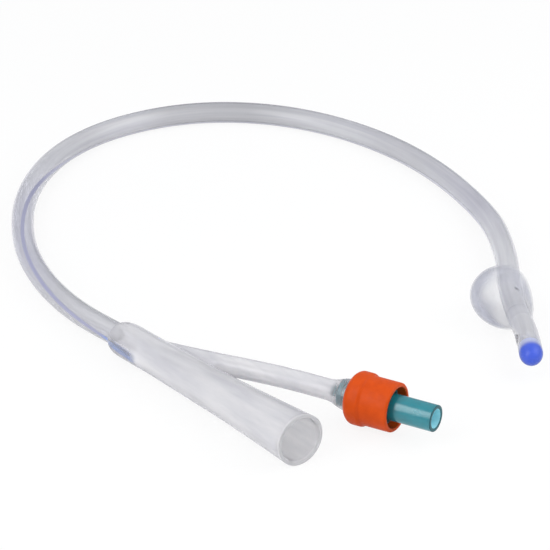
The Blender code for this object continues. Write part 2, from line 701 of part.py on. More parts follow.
def make_housing(parent):
    """Valve housing: flanged chamber, seat wall and tapered luer tube."""
    flange_r = FLANGE_OD / 2
    flange_x = ARM_END_DEPTH + 2 * SEAT_GAP
    tube_r = HOUSING_TUBE_OD / 2
    chamber_r = CHAMBER_OD / 2
    luer_r = LUER_OD / 2
    bore_r = LUER_BORE / 2
    luer_floor = SEAT_X + SEAT_THICK
    floor_r = bore_r - LUER_TAPER / 2 * (LUER_MOUTH_X - luer_floor)
    front_end = FRONT_FLANGE_X + FLANGE_THICK
    profile = [(HOUSING_BACK, CHAMBER_BORE / 2), (HOUSING_BACK, tube_r), (flange_x, tube_r),
               (flange_x, flange_r), (flange_x + FLANGE_THICK, flange_r),
               (flange_x + FLANGE_THICK, chamber_r), (FRONT_FLANGE_X, chamber_r),
               (FRONT_FLANGE_X, flange_r), (front_end, flange_r),
               (front_end, luer_r + LUER_FILLET), (front_end + LUER_FILLET, luer_r),
               (LUER_MOUTH_X - SMALL_EDGE, luer_r), (LUER_MOUTH_X, luer_r - SMALL_EDGE),
               (LUER_MOUTH_X, bore_r + LUER_CHAMFER), (LUER_MOUTH_X - LUER_CHAMFER, bore_r),
               (luer_floor, floor_r), (luer_floor, SEAT_HOLE / 2), (SEAT_X, SEAT_HOLE / 2),
               (SEAT_X, CHAMBER_BORE / 2)]
    teal = material("clear teal plastic", (0.02, 0.42, 0.48), 0.12, alpha=0.6)
    return turned("valve_housing", profile, ROUND_SIDES, teal, parent)


def make_retainer(parent):
    """Retainer pressed in the chamber's back: spring boss, shoulder, cone and spigot."""
    disc_r = CHAMBER_BORE / 2 - ROUND_GAP
    shoulder_r = HOUSING_TUBE_OD / 2
    shoulder_x = HOUSING_BACK - SEAT_GAP
    passage = RETAINER_PASSAGE_R
    _, _, _, head_back = plunger_places()
    boss_end = head_back - PLUNGER_GUIDE_LENGTH - PLUNGER_TRAVEL - SEAT_GAP
    profile = [(SPIGOT_END, passage), (SPIGOT_END, SPIGOT_R - SMALL_EDGE),
               (SPIGOT_END + SMALL_EDGE, SPIGOT_R), (CONE_START, SPIGOT_R),
               (CONE_START + RETAINER_CONE, shoulder_r), (shoulder_x, shoulder_r),
               (shoulder_x, disc_r), (RETAINER_DISC_END, disc_r),
               (RETAINER_DISC_END, RETAINER_BOSS_R), (boss_end, RETAINER_BOSS_R),
               (boss_end, passage)]
    teal = material("teal plastic", (0.03, 0.38, 0.44), 0.2, alpha=0.8)
    return turned("valve_retainer", profile, FINE_SIDES, teal, parent)


def plunger_places():
    """Seal's front, seal's back and head's back along the valve axis, seated at rest."""
    seal_front = SEAT_X - BOND_GAP
    seal_back = seal_front - SEAL_THICK
    head_front = seal_back - BOND_GAP
    return seal_front, seal_back, head_front, head_front - PLUNGER_HEAD_THICK


def make_plunger(parent):
    """Plunger: guide in the spring, head, hub through the seal and a four-ribbed stem."""
    _, _, head_front, head_back = plunger_places()
    hub_end = SEAT_X + BOND_GAP
    stem_end = LUER_MOUTH_X - PLUNGER_FROM_MOUTH
    white = material("white plastic", (0.88, 0.88, 0.86), 0.4)
    guide_back = head_back - PLUNGER_GUIDE_LENGTH
    profile = [(guide_back, PLUNGER_GUIDE_R - SMALL_EDGE),
               (guide_back + SMALL_EDGE, PLUNGER_GUIDE_R),
               (head_back, PLUNGER_GUIDE_R), (head_back, PLUNGER_HEAD_R),
               (head_front, PLUNGER_HEAD_R), (head_front, PLUNGER_HUB_R), (hub_end, PLUNGER_HUB_R)]
    plunger = turned("valve_plunger", profile, FINE_SIDES, white, parent, solid=True)

    half_rib = PLUNGER_RIB / 2
    tip = PLUNGER_STEM_R
    quarter = [(tip, -half_rib), (tip, half_rib), (half_rib, half_rib)]
    cross = []
    for turn in range(4):
        angle = math.radians(90 * turn)
        for y, z in quarter:
            cross.append((y * math.cos(angle) - z * math.sin(angle),
                          y * math.sin(angle) + z * math.cos(angle)))
    stem_root = (head_front + hub_end) / 2
    rings = [[Vector((x, y, z)) for y, z in cross] for x in (stem_root, stem_end)]
    combine(plunger, add_object("stem", loft("stem", rings), None, parent), "UNION")
    return plunger


def make_seal(parent):
    """Elastic seal ring on the plunger's hub."""
    seal_front, seal_back, _, _ = plunger_places()
    bore = PLUNGER_HUB_R + ROUND_GAP
    rubber = material("white rubber", (0.75, 0.74, 0.70), 0.6)
    profile = [(seal_back, bore), (seal_back, SEAL_R), (seal_front - SMALL_EDGE, SEAL_R),
               (seal_front, SEAL_R - SMALL_EDGE), (seal_front, bore)]
    return turned("valve_seal", profile, FINE_SIDES, rubber, parent)


def make_spring(parent):
    """Steel return spring between the retainer and the plunger's head."""
    _, _, _, head_back = plunger_places()
    start = RETAINER_DISC_END + BOND_GAP + SPRING_WIRE_R
    end = head_back - BOND_GAP - SPRING_WIRE_R
    count = SPRING_TURNS * SPRING_STEPS
    rings = []
    for i in range(count + 1):
        angle = math.tau * i / SPRING_STEPS
        x = start + (end - start) * i / count
        out = Vector((0, math.cos(angle), math.sin(angle)))
        centre = Vector((x, 0, 0)) + out * SPRING_MEAN_R
        rings.append(ring_about(centre, out, Vector((1, 0, 0)), SPRING_WIRE_R, SMALL_SIDES))
    steel = material("spring steel", (0.60, 0.61, 0.63), 0.3, metallic=1.0)
    return add_object("valve_spring", loft("valve_spring", rings), steel, parent)


def centre_outline(layout, pieces):
    """Slide the layout until the middle of the whole outline stands over the origin."""
    bpy.context.view_layer.update()
    corners = np.array([piece.matrix_world @ vertex.co for piece in pieces
                        for vertex in piece.data.vertices])
    middle = (corners.min(axis=0) + corners.max(axis=0)) / 2
    layout.location.x -= middle[0]
    layout.location.y -= middle[1]


def main():
    for old in list(bpy.data.objects):
        bpy.data.objects.remove(old)

    layout = bpy.data.objects.new("layout", None)
    bpy.context.collection.objects.link(layout)

    line = ShaftLine()
    shaft_end = line.length - TIP_LENGTH
    pieces = [make_shaft(line, shaft_end, layout), make_stripe(line, shaft_end, layout),
              make_tip(line, shaft_end, layout), make_balloon(line, layout), make_y_funnel(layout)]

    valve = bpy.data.objects.new("valve_axis", None)
    bpy.context.collection.objects.link(valve)
    valve.parent = layout
    valve.matrix_local = valve_matrix()
    for make in (make_sleeve, make_housing, make_retainer, make_plunger, make_seal, make_spring):
        pieces.append(make(valve))
    centre_outline(layout, pieces)
    bpy.context.view_layer.update()


main()
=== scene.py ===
import math

import bmesh
import bpy
import numpy as np
from mathutils import Matrix, Vector, geometry


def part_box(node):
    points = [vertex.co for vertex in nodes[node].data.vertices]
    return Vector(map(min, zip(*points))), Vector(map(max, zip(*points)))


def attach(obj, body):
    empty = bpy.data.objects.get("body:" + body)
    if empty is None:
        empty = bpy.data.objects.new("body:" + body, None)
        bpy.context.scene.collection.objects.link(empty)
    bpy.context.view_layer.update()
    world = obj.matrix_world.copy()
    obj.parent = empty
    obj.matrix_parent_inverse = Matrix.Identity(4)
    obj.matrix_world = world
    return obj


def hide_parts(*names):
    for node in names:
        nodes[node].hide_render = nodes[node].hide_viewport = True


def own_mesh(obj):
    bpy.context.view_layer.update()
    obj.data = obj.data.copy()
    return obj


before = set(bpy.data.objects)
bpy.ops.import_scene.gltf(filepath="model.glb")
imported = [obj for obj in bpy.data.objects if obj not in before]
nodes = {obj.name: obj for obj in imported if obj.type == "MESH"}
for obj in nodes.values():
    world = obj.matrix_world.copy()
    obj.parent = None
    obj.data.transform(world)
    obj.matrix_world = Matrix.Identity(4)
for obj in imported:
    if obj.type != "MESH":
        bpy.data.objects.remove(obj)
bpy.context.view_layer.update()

MM = 0.001

# Sizes and the shaft's route, as in the CAD part
SHAFT_R = 2.665 * MM
DRAIN_LUMEN_R = 1.85 * MM
DRAIN_LUMEN_OFFSET = 0.25 * MM
DRAIN_LUMEN_FLAT = 1.20 * MM
INFLATION_LUMEN_R = 0.36 * MM
INFLATION_LUMEN_OFFSET = 1.85 * MM
STRIPE_WIDTH = 0.90 * MM
STRIPE_DEPTH = 0.30 * MM
STRIPE_FROM_INFLATION_DEG = 212.0
SHAFT_IN_COLLAR = 10.0 * MM
LOOP_WIDTH = 116.1 * MM
ROUTE = [
    (0.0, 0.0), (-14.2, 0.0), (-26.4, 1.6), (-38.1, 4.5), (-49.7, 8.9), (-60.8, 14.9),
    (-71.4, 22.3), (-80.8, 31.0), (-88.5, 40.8), (-94.1, 51.7), (-97.0, 63.5), (-96.8, 75.9),
    (-93.4, 87.8), (-86.6, 98.2), (-77.2, 106.3), (-66.1, 111.8), (-53.8, 115.0), (-41.6, 116.1),
    (-29.2, 115.4), (-17.0, 113.2), (-4.9, 109.5), (6.7, 104.5), (17.4, 98.1), (27.6, 90.9),
    (38.0, 82.7), (48.0, 76.2), (57.6, 70.5), (67.7, 63.3),
]
STRIPE_TURN = [(-10, 214), (2, 188), (19, 156), (39, 127), (62, 92), (75, 66), (88, 34),
               (100, 3), (112, -23), (128, -39), (154, -46), (200, -40), (240, -20), (262, -16),
               (290, -30), (340, -46)]
SETTLE_LENGTH = 36.0 * MM
RISE_LENGTH = 62.0 * MM
TIP_LENGTH = 5.8 * MM
TIP_DOME_LENGTH = 3.4 * MM
TIP_STUB_LENGTH = 3.0 * MM
EYE_LENGTH = 3.6 * MM
EYE_WIDTH = 2.0 * MM
EYE_FROM_TIP = (3.6 * MM, 8.4 * MM)
EYE_FROM_INFLATION_DEG = 100.0
PORT_DIAMETER = 0.9 * MM
BALLOON_FROM_APEX = 30.5 * MM
BALLOON_LENGTH = 17.0 * MM
BALLOON_HALF_WIDTH = 7.0 * MM
BALLOON_HALF_HEIGHT = 6.2 * MM
BALLOON_WALL = 0.35 * MM
BALLOON_FULLNESS = 1.15
BALLOON_INWARD = 2.7 * MM
BALLOON_UPWARD = 0.8 * MM
CUFF_LENGTH = 4.0 * MM
Y_LENGTH = 66.2 * MM
COLLAR_HALF_WIDTH = 4.35 * MM
COLLAR_HALF_HEIGHT = 4.0 * MM
COLLAR_SHOULDER = 4.5 * MM
COLLAR_LENGTH = 16.0 * MM
FUNNEL_MOUTH_R = 5.85 * MM
FUNNEL_MOUTH_WALL = 1.0 * MM
FUNNEL_WAIST_X = 34.2 * MM
FUNNEL_WAIST_R = 4.55 * MM
FUNNEL_WAIST_WALL = 1.2 * MM
FUNNEL_FLARE = 1.4
NOSE_WALL = 0.25 * MM
ARM_HEADING_DEG = 22.0
ARM_OD = 4.8 * MM
ARM_BORE = 1.4 * MM
ARM_ROOT_X = 10.0 * MM
ARM_ROOT_Y = 1.77 * MM
ARM_LENGTH = 51.34 * MM
ARM_STRAIGHT_FROM = -11.7 * MM
ARM_FLARE_START = -6.0 * MM
ARM_FLARE_END = -0.8 * MM
ARM_END_OD = 7.3 * MM
ARM_END_DEPTH = 3.2 * MM
BORE_ROUND_BY = 8.0 * MM
LINK_LENGTH = 6.0 * MM
LINK_BORE = 1.0 * MM
CROTCH_X = 27.5 * MM
WEB_HALF_THICKNESS = [(0.1, 3.4 * MM), (0.4, 3.0 * MM), (0.8, 2.2 * MM), (0.95, 1.6 * MM),
                      (1.0, 1.0 * MM)]
SLEEVE_LENGTH = 10.8 * MM
SLEEVE_OD = 11.0 * MM
SLEEVE_BAND_OD = 11.9 * MM
SLEEVE_BAND_START = 0.9 * MM
SLEEVE_BAND_END = 4.2 * MM
SLEEVE_BAND_ROUND = 0.5 * MM
SLEEVE_EDGE = 0.8 * MM
HOUSING_TUBE_OD = 5.7 * MM
HOUSING_BACK = -1.4 * MM
FLANGE_OD = 8.9 * MM
FLANGE_THICK = 1.0 * MM
CHAMBER_OD = 6.4 * MM
CHAMBER_BORE = 4.6 * MM
SEAT_X = 7.9 * MM
SEAT_THICK = 1.4 * MM
SEAT_HOLE = 2.7 * MM
FRONT_FLANGE_X = 7.6 * MM
LUER_MOUTH_X = 20.2 * MM
LUER_OD = 5.95 * MM
LUER_BORE = 4.3 * MM
LUER_TAPER = 0.06
RETAINER_SHOULDER = 1.1 * MM
RETAINER_CONE = 0.7 * MM
SPIGOT_LENGTH = 1.4 * MM
SPIGOT_R = 1.1 * MM
SPRING_TURNS = 6
SPRING_MEAN_R = 1.5 * MM
SPRING_WIRE_R = 0.16 * MM
SEAT_GAP = 0.10 * MM
BOND_GAP = 0.05 * MM
CUT_PAST = 2.0 * MM
HAIR = 0.01 * MM

# Bonded faces here share their material, so they meet or lap by FLUSH instead of leaving a gap.
# The balloon's cuffs taper at their ends to the share CUFF_EDGE of the wall
FLUSH = 0.01 * MM
NOSE_BOND = 0.4 * MM
CUFF_TAPER = 2.5 * MM
CUFF_EDGE = 0.1
TIP_BOND_INSET = 0.05 * MM
TIP_STUB_LAP = 0.3 * MM

# How far the shaft's streaks are drawn out along it
STREAK_DRAW = 0.03

# The x-ray line's colour along the shaft, by the distance from the collar in millimetres
STRIPE_TINT = [(-10, (0.14, 0.29, 0.78)), (-1, (0.18, 0.32, 0.76)), (4, (0.34, 0.345, 0.475)),
               (90, (0.34, 0.345, 0.475)), (120, (0.60, 0.60, 0.66)), (240, (0.60, 0.60, 0.66)),
               (280, (0.46, 0.46, 0.56)), (340, (0.46, 0.46, 0.56))]

# Painted light and shade along the shaft's skin, and its lavender tinge, in millimetres from the collar:
# each row is a place, how light the skin is painted there, and how lavender it is
PAINTED_LIGHT_AND_LAVENDER = [(-10, 0.73, 0.0), (25, 0.73, 0.0), (42, 0.85, 1.0), (58, 0.99, 1.0), (75, 1.0, 1.0),
             (92, 1.0, 0.3), (103, 0.80, 0.2), (118, 0.68, 0.0), (128, 0.80, 0.0), (136, 0.78, 0.0),
             (146, 0.50, 0.0), (158, 0.41, 0.0), (167, 0.37, 0.0), (175, 0.50, 0.0), (184, 0.67, 0.0),
             (195, 0.74, 0.0), (208, 0.62, 0.1), (222, 0.60, 0.1), (243, 0.70, 0.7), (255, 0.68, 1.0),
             (269, 0.88, 0.3), (280, 0.98, 0.0), (312, 1.0, 0.0), (322, 0.84, 0.0), (340, 0.84, 0.0)]
# The skin's colour is multiplied by a factor that runs from the painted shade's darkest to the painted
# light's brightest
PAINTED_SHADE_DARKEST = 0.50
PAINTED_LIGHT_BRIGHTEST = 1.035
LAVENDER = 0.045

# The moulding is clearest at its thin ends, over the shaft and over the valve's tube
CLEAR_NOSE = 13.0 * MM
CLEAR_NOSE_OVER = 4.0 * MM
CLEAR_ARM_FROM = -4.6 * MM
CLEAR_ARM_OVER = 2.0 * MM
CLEAR_SIDE = (-0.83, -0.56)

# The funnel's mouth has a cut lip, and its bore widens at the edge
MOUTH_LIP = 0.5 * MM
MOUTH_EDGE_FROM = 0.4 * MM
MOUTH_EDGE_PAST = 0.1 * MM
MOUTH_EDGE_WIDER = 0.35 * MM

# The moulding's forms run into each other: a coarse remesh, then passes of smoothing
BLEND_VOXEL = 0.25 * MM
BLEND_FACTOR = 0.5
BLEND_PASSES = 40

# Soft corners of the sleeve and the housing, the luer's foot, and the band at the luer's mouth that is
# painted dark as shade
SLEEVE_SOFT = 0.35 * MM
SLEEVE_BAND_RISE = 0.2 * MM
HOUSING_SOFT = 0.18 * MM
LUER_FOOT = 0.4 * MM
LUER_SHADED_EDGE = 0.12 * MM

# The tip is palest up to TIP_PALE and deepens over TIP_DEEPENS, as shares of its length
TIP_PALE = 0.14
TIP_DEEPENS = 0.42

# The balloon's grey veil is painted shade, given as shares of its full cover: thin on top, full on the
# loop's inner side, and with a darker band across its inner side near the tip
VEIL_AT_CUFF = 0.25
VEIL_ON_TOP = 0.2
VEIL_OUTWARD = 0.4
VEIL_SIDE_SPREAD = 1.5
VEIL_SHOULDER = 1.3
SHADE_BAND_PLACE = 0.80
SHADE_BAND_WIDTH = 0.16
SHADE_BAND_NARROWING = 3
SHADE_BAND_VEIL = 1.2

# Looks that several materials share; noises have so many features for each metre
SILICONE_IOR = 1.41
SKIN_GRAIN = 900
TIP_GRAIN = 1400
PLASTIC_GRAIN = 1600
PLASTIC_CLOUD = 500
GRAIN_DEPTH = 0.03 * MM
ROUGHNESS_GIVE = 0.15
NOISE_LOW = 0.35
NOISE_HIGH = 0.65

# Material slots of the silicone pieces; the skin has slot 0
INNER_SLOT = 1
CUT_SLOT = 2

# Facets
SHAFT_SIDES = 96
SHAFT_STATION = 0.8 * MM
LUMEN_SIDES = 48
INFLATION_SIDES = 16
EYE_SIDES = 40
PORT_SIDES = 20
STRIPE_STEPS = 8
TIP_SIDES = 72
TIP_STRAIGHT_STEPS = 8
TIP_DOME_STEPS = 22
BALLOON_SIDES = 96
BALLOON_STEPS = 56
CUFF_STEPS = 6
Y_SIDES = 96
NOSE_STEPS = 12
COLLAR_STEPS = 8
NECK_STEPS = 12
FLARE_STEPS = 24
ARM_SIDES = 72
ARM_STEPS = 30
ARM_FLARE_STEPS = 16
WEB_STEPS = 24
BORE_STATION = 0.5 * MM
BORE_STEPS = 16
PASSAGE_SIDES = 48
LINK_SIDES = 24
VALVE_SIDES = 128
SPRING_STEPS = 32
SPRING_SIDES = 12
ROUND_STEPS = 4
ROUTE_POINTS = 2000
SHARP_DEG = 40

SIDEWAYS = Vector((0, 1, 0))
UP = Vector((0, 0, 1))

Y_RISE = (FUNNEL_MOUTH_R - COLLAR_HALF_HEIGHT) / (Y_LENGTH - COLLAR_SHOULDER)
ROUTE_SCALE = LOOP_WIDTH / (max(y for _, y in ROUTE) * MM)
BALLOON_SHAFT_HEIGHT = BALLOON_HALF_HEIGHT - BALLOON_UPWARD
VALVE_HEIGHT = SLEEVE_BAND_OD / 2
ARM_ALONG = Vector((math.cos(math.radians(ARM_HEADING_DEG)), math.sin(math.radians(ARM_HEADING_DEG))))
SLEEVE_FACE = Vector((ARM_ROOT_X, ARM_ROOT_Y)) + ARM_ALONG * ARM_LENGTH
CONE_START = HOUSING_BACK - SEAT_GAP - RETAINER_SHOULDER - RETAINER_CONE
SPIGOT_END = CONE_START - SPIGOT_LENGTH

# The collar's mouth, from the low corner of the CAD's Y
y_low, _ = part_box("y_funnel")
COLLAR_PLACE = Vector((y_low[0], y_low[1] + FUNNEL_MOUTH_R, 0.0))


# Geometry helpers

def mesh_from(name, points, faces):
    mesh = bpy.data.meshes.new(name)
    mesh.from_pydata([tuple(p) for p in points], [], faces)
    shell = bmesh.new()
    shell.from_mesh(mesh)
    bmesh.ops.recalc_face_normals(shell, faces=shell.faces)
    shell.to_mesh(mesh)
    shell.free()
    return mesh


def shade(mesh, sharp_deg=SHARP_DEG):
    mesh.shade_smooth()
    mesh.set_sharp_from_angle(angle=math.radians(sharp_deg))


def add_object(name, mesh, sharp_deg=SHARP_DEG):
    shade(mesh, sharp_deg)
    piece = bpy.data.objects.new(name, mesh)
    bpy.context.collection.objects.link(piece)
    return piece


def wall_between(first, second, count):
    quads = []
    for i in range(count):
        j = (i + 1) % count
        quads.append((first + i, first + j, second + j, second + i))
    return quads


def loft(name, rings):
    count = len(rings[0])
    points = [point for ring in rings for point in ring]
    faces = []
    for k in range(len(rings) - 1):
        faces += wall_between(k * count, (k + 1) * count, count)
    faces.append(tuple(range(count)))
    faces.append(tuple(range((len(rings) - 1) * count, len(rings) * count)))
    return mesh_from(name, points, faces)


def form(name, rings):
    """A closed form through rings, to join or cut with."""
    return add_object(name, loft(name, rings))


def loft_loop(name, rings):
    count = len(rings[0])
    points = [point for ring in rings for point in ring]
    faces = []
    for k in range(len(rings)):
        faces += wall_between(k * count, ((k + 1) % len(rings)) * count, count)
    return mesh_from(name, points, faces)


def loft_with_holes(name, sections):
    """A solid through sections, each an outer loop and its holes; the holes' walls take the inner slot."""
    sizes = [len(loop) for loop in sections[0]]
    starts = [sum(sizes[:i]) for i in range(len(sizes))]
    per_station = sum(sizes)
    points = [point for station in sections for loop in station for point in loop]
    faces = []
    for k in range(len(sections) - 1):
        for start, size in zip(starts, sizes):
            faces += wall_between(k * per_station + start, (k + 1) * per_station + start, size)
    cap = geometry.tessellate_polygon(sections[0])
    last = (len(sections) - 1) * per_station
    wall_faces = len(faces)
    faces += [tuple(corners) for corners in cap]
    faces += [tuple(last + corner for corner in corners) for corners in cap]
    mesh = mesh_from(name, points, faces)
    for face in mesh.polygons:
        if face.index < wall_faces and face.index % per_station >= sizes[0]:
            face.material_index = INNER_SLOT
    return mesh


def ring_about(centre, side, up, radius, sides, radius_up=None):
    height = radius if radius_up is None else radius_up
    return [centre + side * (radius * math.cos(math.tau * i / sides))
            + up * (height * math.sin(math.tau * i / sides)) for i in range(sides)]


def combine(target, tool, operation, slot=0):
    """Join or cut; the faces that the tool brings take the target's material slot."""
    for face in tool.data.polygons:
        face.material_index = slot
    change = target.modifiers.new(operation.title(), "BOOLEAN")
    change.operation = operation
    change.solver = "EXACT"
    change.object = tool
    bake(target)
    bpy.data.objects.remove(tool)


def bake(target):
    bpy.context.view_layer.update()
    graph = bpy.context.evaluated_depsgraph_get()
    mesh = bpy.data.meshes.new_from_object(target.evaluated_get(graph))
    target.modifiers.clear()
    target.data = mesh


def natural_spline(knots, values, at):
    knots = np.array(knots, dtype=float)
    values = np.array(values, dtype=float).reshape(len(knots), -1)
    gaps = np.diff(knots)
    slopes = np.diff(values, axis=0) / gaps[:, None]
    count = len(knots)
    system = np.eye(count)
    wanted = np.zeros_like(values)
    for i in range(1, count - 1):
        system[i, i - 1] = gaps[i - 1]
        system[i, i] = 2 * (gaps[i - 1] + gaps[i])
        system[i, i + 1] = gaps[i]
        wanted[i] = 6 * (slopes[i] - slopes[i - 1])
    bend = np.linalg.solve(system, wanted)
    at = np.clip(np.asarray(at, dtype=float), knots[0], knots[-1])
    k = np.clip(np.searchsorted(knots, at, side="right") - 1, 0, count - 2)
    after = (knots[k + 1] - at)[:, None]
    before = (at - knots[k])[:, None]
    gap = gaps[k][:, None]
    curve = (bend[k] * after ** 3 + bend[k + 1] * before ** 3) / (6 * gap)
    curve += (values[k] / gap - bend[k] * gap / 6) * after
    curve += (values[k + 1] / gap - bend[k + 1] * gap / 6) * before
    return curve


def ease(share):
    share = min(max(share, 0.0), 1.0)
    return share * share * (3 - 2 * share)


def between(first, last, share):
    return first + (last - first) * share


def stations(start, end, spacing):
    count = max(2, math.ceil((end - start) / spacing) + 1)
    return [start + (end - start) * i / (count - 1) for i in range(count)]


def soften(profile, radius):
    """Round the corners of a closed (x, radius) profile, but not where it runs nearly straight on."""
    made = []
    most = 0.45
    nothing = 1e-7
    nearly_straight = math.radians(165)
    count = len(profile)
    for i in range(count):
        corner = Vector(profile[i])
        before = Vector(profile[i - 1]) - corner
        after = Vector(profile[(i + 1) % count]) - corner
        reach = min(radius, before.length * most, after.length * most)
        if reach < nothing or abs(before.angle(after)) > nearly_straight:
            made.append(tuple(corner))
            continue
        start = corner + before.normalized() * reach
        end = corner + after.normalized() * reach
        for k in range(ROUND_STEPS + 1):
            share = k / ROUND_STEPS
            rest = 1 - share
            made.append(tuple(start * rest ** 2 + corner * (2 * share * rest) + end * share ** 2))
    return made


def give(mesh, name, values, kind="FLOAT"):
    """Store a value for each vertex under a name, for a material to read."""
    field = {"FLOAT": "value", "FLOAT_VECTOR": "vector", "FLOAT_COLOR": "color"}[kind]
    mesh.attributes.new(name, kind, "POINT").data.foreach_set(field, values)


# Centre lines and lumens

def funnel_height(x):
    return COLLAR_HALF_HEIGHT + Y_RISE * (x - COLLAR_SHOULDER)


def ring_through(centre, inward, up, corners):
    """A ring by its corners, each a radius and its degrees round the centre."""
    ring = []
    for radius, degrees in corners:
        angle = math.radians(degrees)
        ring.append(centre + inward * (radius * math.cos(angle)) + up * (radius * math.sin(angle)))
    return ring


class ShaftLine:
    """The shaft's centre line, by the distance from the collar's mouth."""

    def __init__(self):
        plan = np.array(ROUTE) * MM * ROUTE_SCALE
        chords = np.r_[0, np.cumsum(np.linalg.norm(np.diff(plan, axis=0), axis=1))]
        dense = np.linspace(0, chords[-1], ROUTE_POINTS)
        self.plan = natural_spline(chords, plan, dense)
        self.along = np.r_[0, np.cumsum(np.linalg.norm(np.diff(self.plan, axis=0), axis=1))]
        self.length = float(self.along[-1])

    def height(self, distance):
        start = funnel_height(0.0)
        if distance < SETTLE_LENGTH:
            share = distance / SETTLE_LENGTH
            return between(start, SHAFT_R, ease(share)) - Y_RISE * distance * (1 - share) ** 2
        rise_end = self.length - BALLOON_FROM_APEX - BALLOON_LENGTH / 2
        share = (distance - rise_end + RISE_LENGTH) / RISE_LENGTH
        return between(SHAFT_R, BALLOON_SHAFT_HEIGHT, ease(share))

    def point(self, distance):
        if distance < 0:
            return COLLAR_PLACE + Vector((-distance, 0.0, funnel_height(-distance)))
        x = np.interp(distance, self.along, self.plan[:, 0])
        y = np.interp(distance, self.along, self.plan[:, 1])
        return COLLAR_PLACE + Vector((x, y, self.height(distance)))

    def frame(self, distance):
        step = 0.5 * MM
        ahead = self.point(min(distance + step, self.length))
        behind = self.point(min(distance, self.length - step) - step)
        along = (ahead - behind).normalized()
        inward = along.cross(UP).normalized()
        return self.point(distance), along, inward, inward.cross(along)

    def section(self, distance, corners, turn_deg):
        centre, _, inward, up = self.frame(distance)
        turned_corners = [(radius, degrees + turn_deg) for radius, degrees in corners]
        return ring_through(centre, inward, up, turned_corners)


def stripe_turn(distance):
    knots = [place * MM * ROUTE_SCALE for place, _ in STRIPE_TURN]
    return float(natural_spline(knots, [turn for _, turn in STRIPE_TURN], [distance])[0, 0])


def inflation_turn(distance):
    return stripe_turn(distance) - STRIPE_FROM_INFLATION_DEG


def off_centre(offset, corners):
    moved = []
    for radius, degrees in corners:
        x = offset + radius * math.cos(math.radians(degrees))
        y = radius * math.sin(math.radians(degrees))
        moved.append((math.hypot(x, y), math.degrees(math.atan2(y, x))))
    return moved


def drain_outline(sides):
    corners = []
    for i in range(sides):
        degrees = 360 * (i + 0.5) / sides
        reach = DRAIN_LUMEN_R
        towards = math.cos(math.radians(degrees))
        if towards > 0:
            reach = min(reach, DRAIN_LUMEN_FLAT / towards)
        corners.append((reach, degrees))
    return off_centre(-DRAIN_LUMEN_OFFSET, corners)


def inflation_outline():
    corners = [(INFLATION_LUMEN_R, 360 * i / INFLATION_SIDES) for i in range(INFLATION_SIDES)]
    return off_centre(INFLATION_LUMEN_OFFSET, corners)


line = ShaftLine()
shaft_end = line.length - TIP_LENGTH
shaft_places = stations(-NOSE_BOND, shaft_end, SHAFT_STATION)


# Materials

def bare_tree(owner):
    owner.use_nodes = True
    owner.node_tree.nodes.clear()
    return owner.node_tree


def new_material(name):
    made = bpy.data.materials.new(name)
    tree = bare_tree(made)
    out = tree.nodes.new("ShaderNodeOutputMaterial")
    shader = tree.nodes.new("ShaderNodeBsdfPrincipled")
    tree.links.new(shader.outputs["BSDF"], out.inputs["Surface"])
    return made, tree, shader


def feed(tree, socket, value):
    """Put a colour or a number on a socket, or link another socket to it."""
    if isinstance(value, bpy.types.NodeSocket):
        tree.links.new(value, socket)
    elif isinstance(value, tuple):
        socket.default_value = (*value, 1.0)
    else:
        socket.default_value = value


def attribute(tree, name, output="Fac"):
    """What a mesh stores under a name."""
    node = tree.nodes.new("ShaderNodeAttribute")
    node.attribute_name = name
    return node.outputs[output]


def noise(tree, scale, detail=3.0, roughness=0.5, stretch=(1.0, 1.0, 1.0), lay=None):
    """A noise of the object's own coordinates, or of those that the attribute lay holds."""
    texture = tree.nodes.new("ShaderNodeTexNoise")
    texture.inputs["Scale"].default_value = scale
    texture.inputs["Detail"].default_value = detail
    texture.inputs["Roughness"].default_value = roughness
    if lay:
        tree.links.new(attribute(tree, lay, "Vector"), texture.inputs["Vector"])
        return texture.outputs["Fac"]
    coords = tree.nodes.new("ShaderNodeTexCoord")
    mapping = tree.nodes.new("ShaderNodeMapping")
    mapping.inputs["Scale"].default_value = stretch
    tree.links.new(coords.outputs["Object"], mapping.inputs["Vector"])
    tree.links.new(mapping.outputs["Vector"], texture.inputs["Vector"])
    return texture.outputs["Fac"]


def calculated(tree, operation, first, second):
    node = tree.nodes.new("ShaderNodeMath")
    node.operation = operation
    feed(tree, node.inputs[0], first)
    feed(tree, node.inputs[1], second)
    return node.outputs[0]


def mixed(tree, factor, first, second):
    """Colour between first and second by a factor socket."""
    mix = tree.nodes.new("ShaderNodeMix")
    mix.data_type = "RGBA"
    tree.links.new(factor, mix.inputs["Factor"])
    feed(tree, mix.inputs[6], first)
    feed(tree, mix.inputs[7], second)
    return mix.outputs[2]


def mapped(tree, value, low, high, start=0.0, end=1.0, smooth=False):
    """What goes from start to end becomes a value from low to high."""
    node = tree.nodes.new("ShaderNodeMapRange")
    if smooth:
        node.interpolation_type = "SMOOTHSTEP"
    for socket, number in (("From Min", start), ("From Max", end), ("To Min", low), ("To Max", high)):
        node.inputs[socket].default_value = number
    tree.links.new(value, node.inputs["Value"])
    return node.outputs["Result"]


def spread(tree, value, low, high):
    """Map 0..1 noise, which stays near its middle, to low..high."""
    return mapped(tree, value, low, high, NOISE_LOW, NOISE_HIGH)


def clouded(tree, scale, light, dark, most=1.0, roughness=0.55, **where):
    """A colour that drifts from light towards dark, as far as most."""
    cloud = noise(tree, scale, 4.0, roughness, **where)
    return mixed(tree, spread(tree, cloud, 0.0, most), light, dark)


def roughen(tree, shader, scale, low, high):
    """Roughness from low to high by a fine grain, which is given back."""
    grain = noise(tree, scale)
    tree.links.new(spread(tree, grain, low, high), shader.inputs["Roughness"])
    return grain


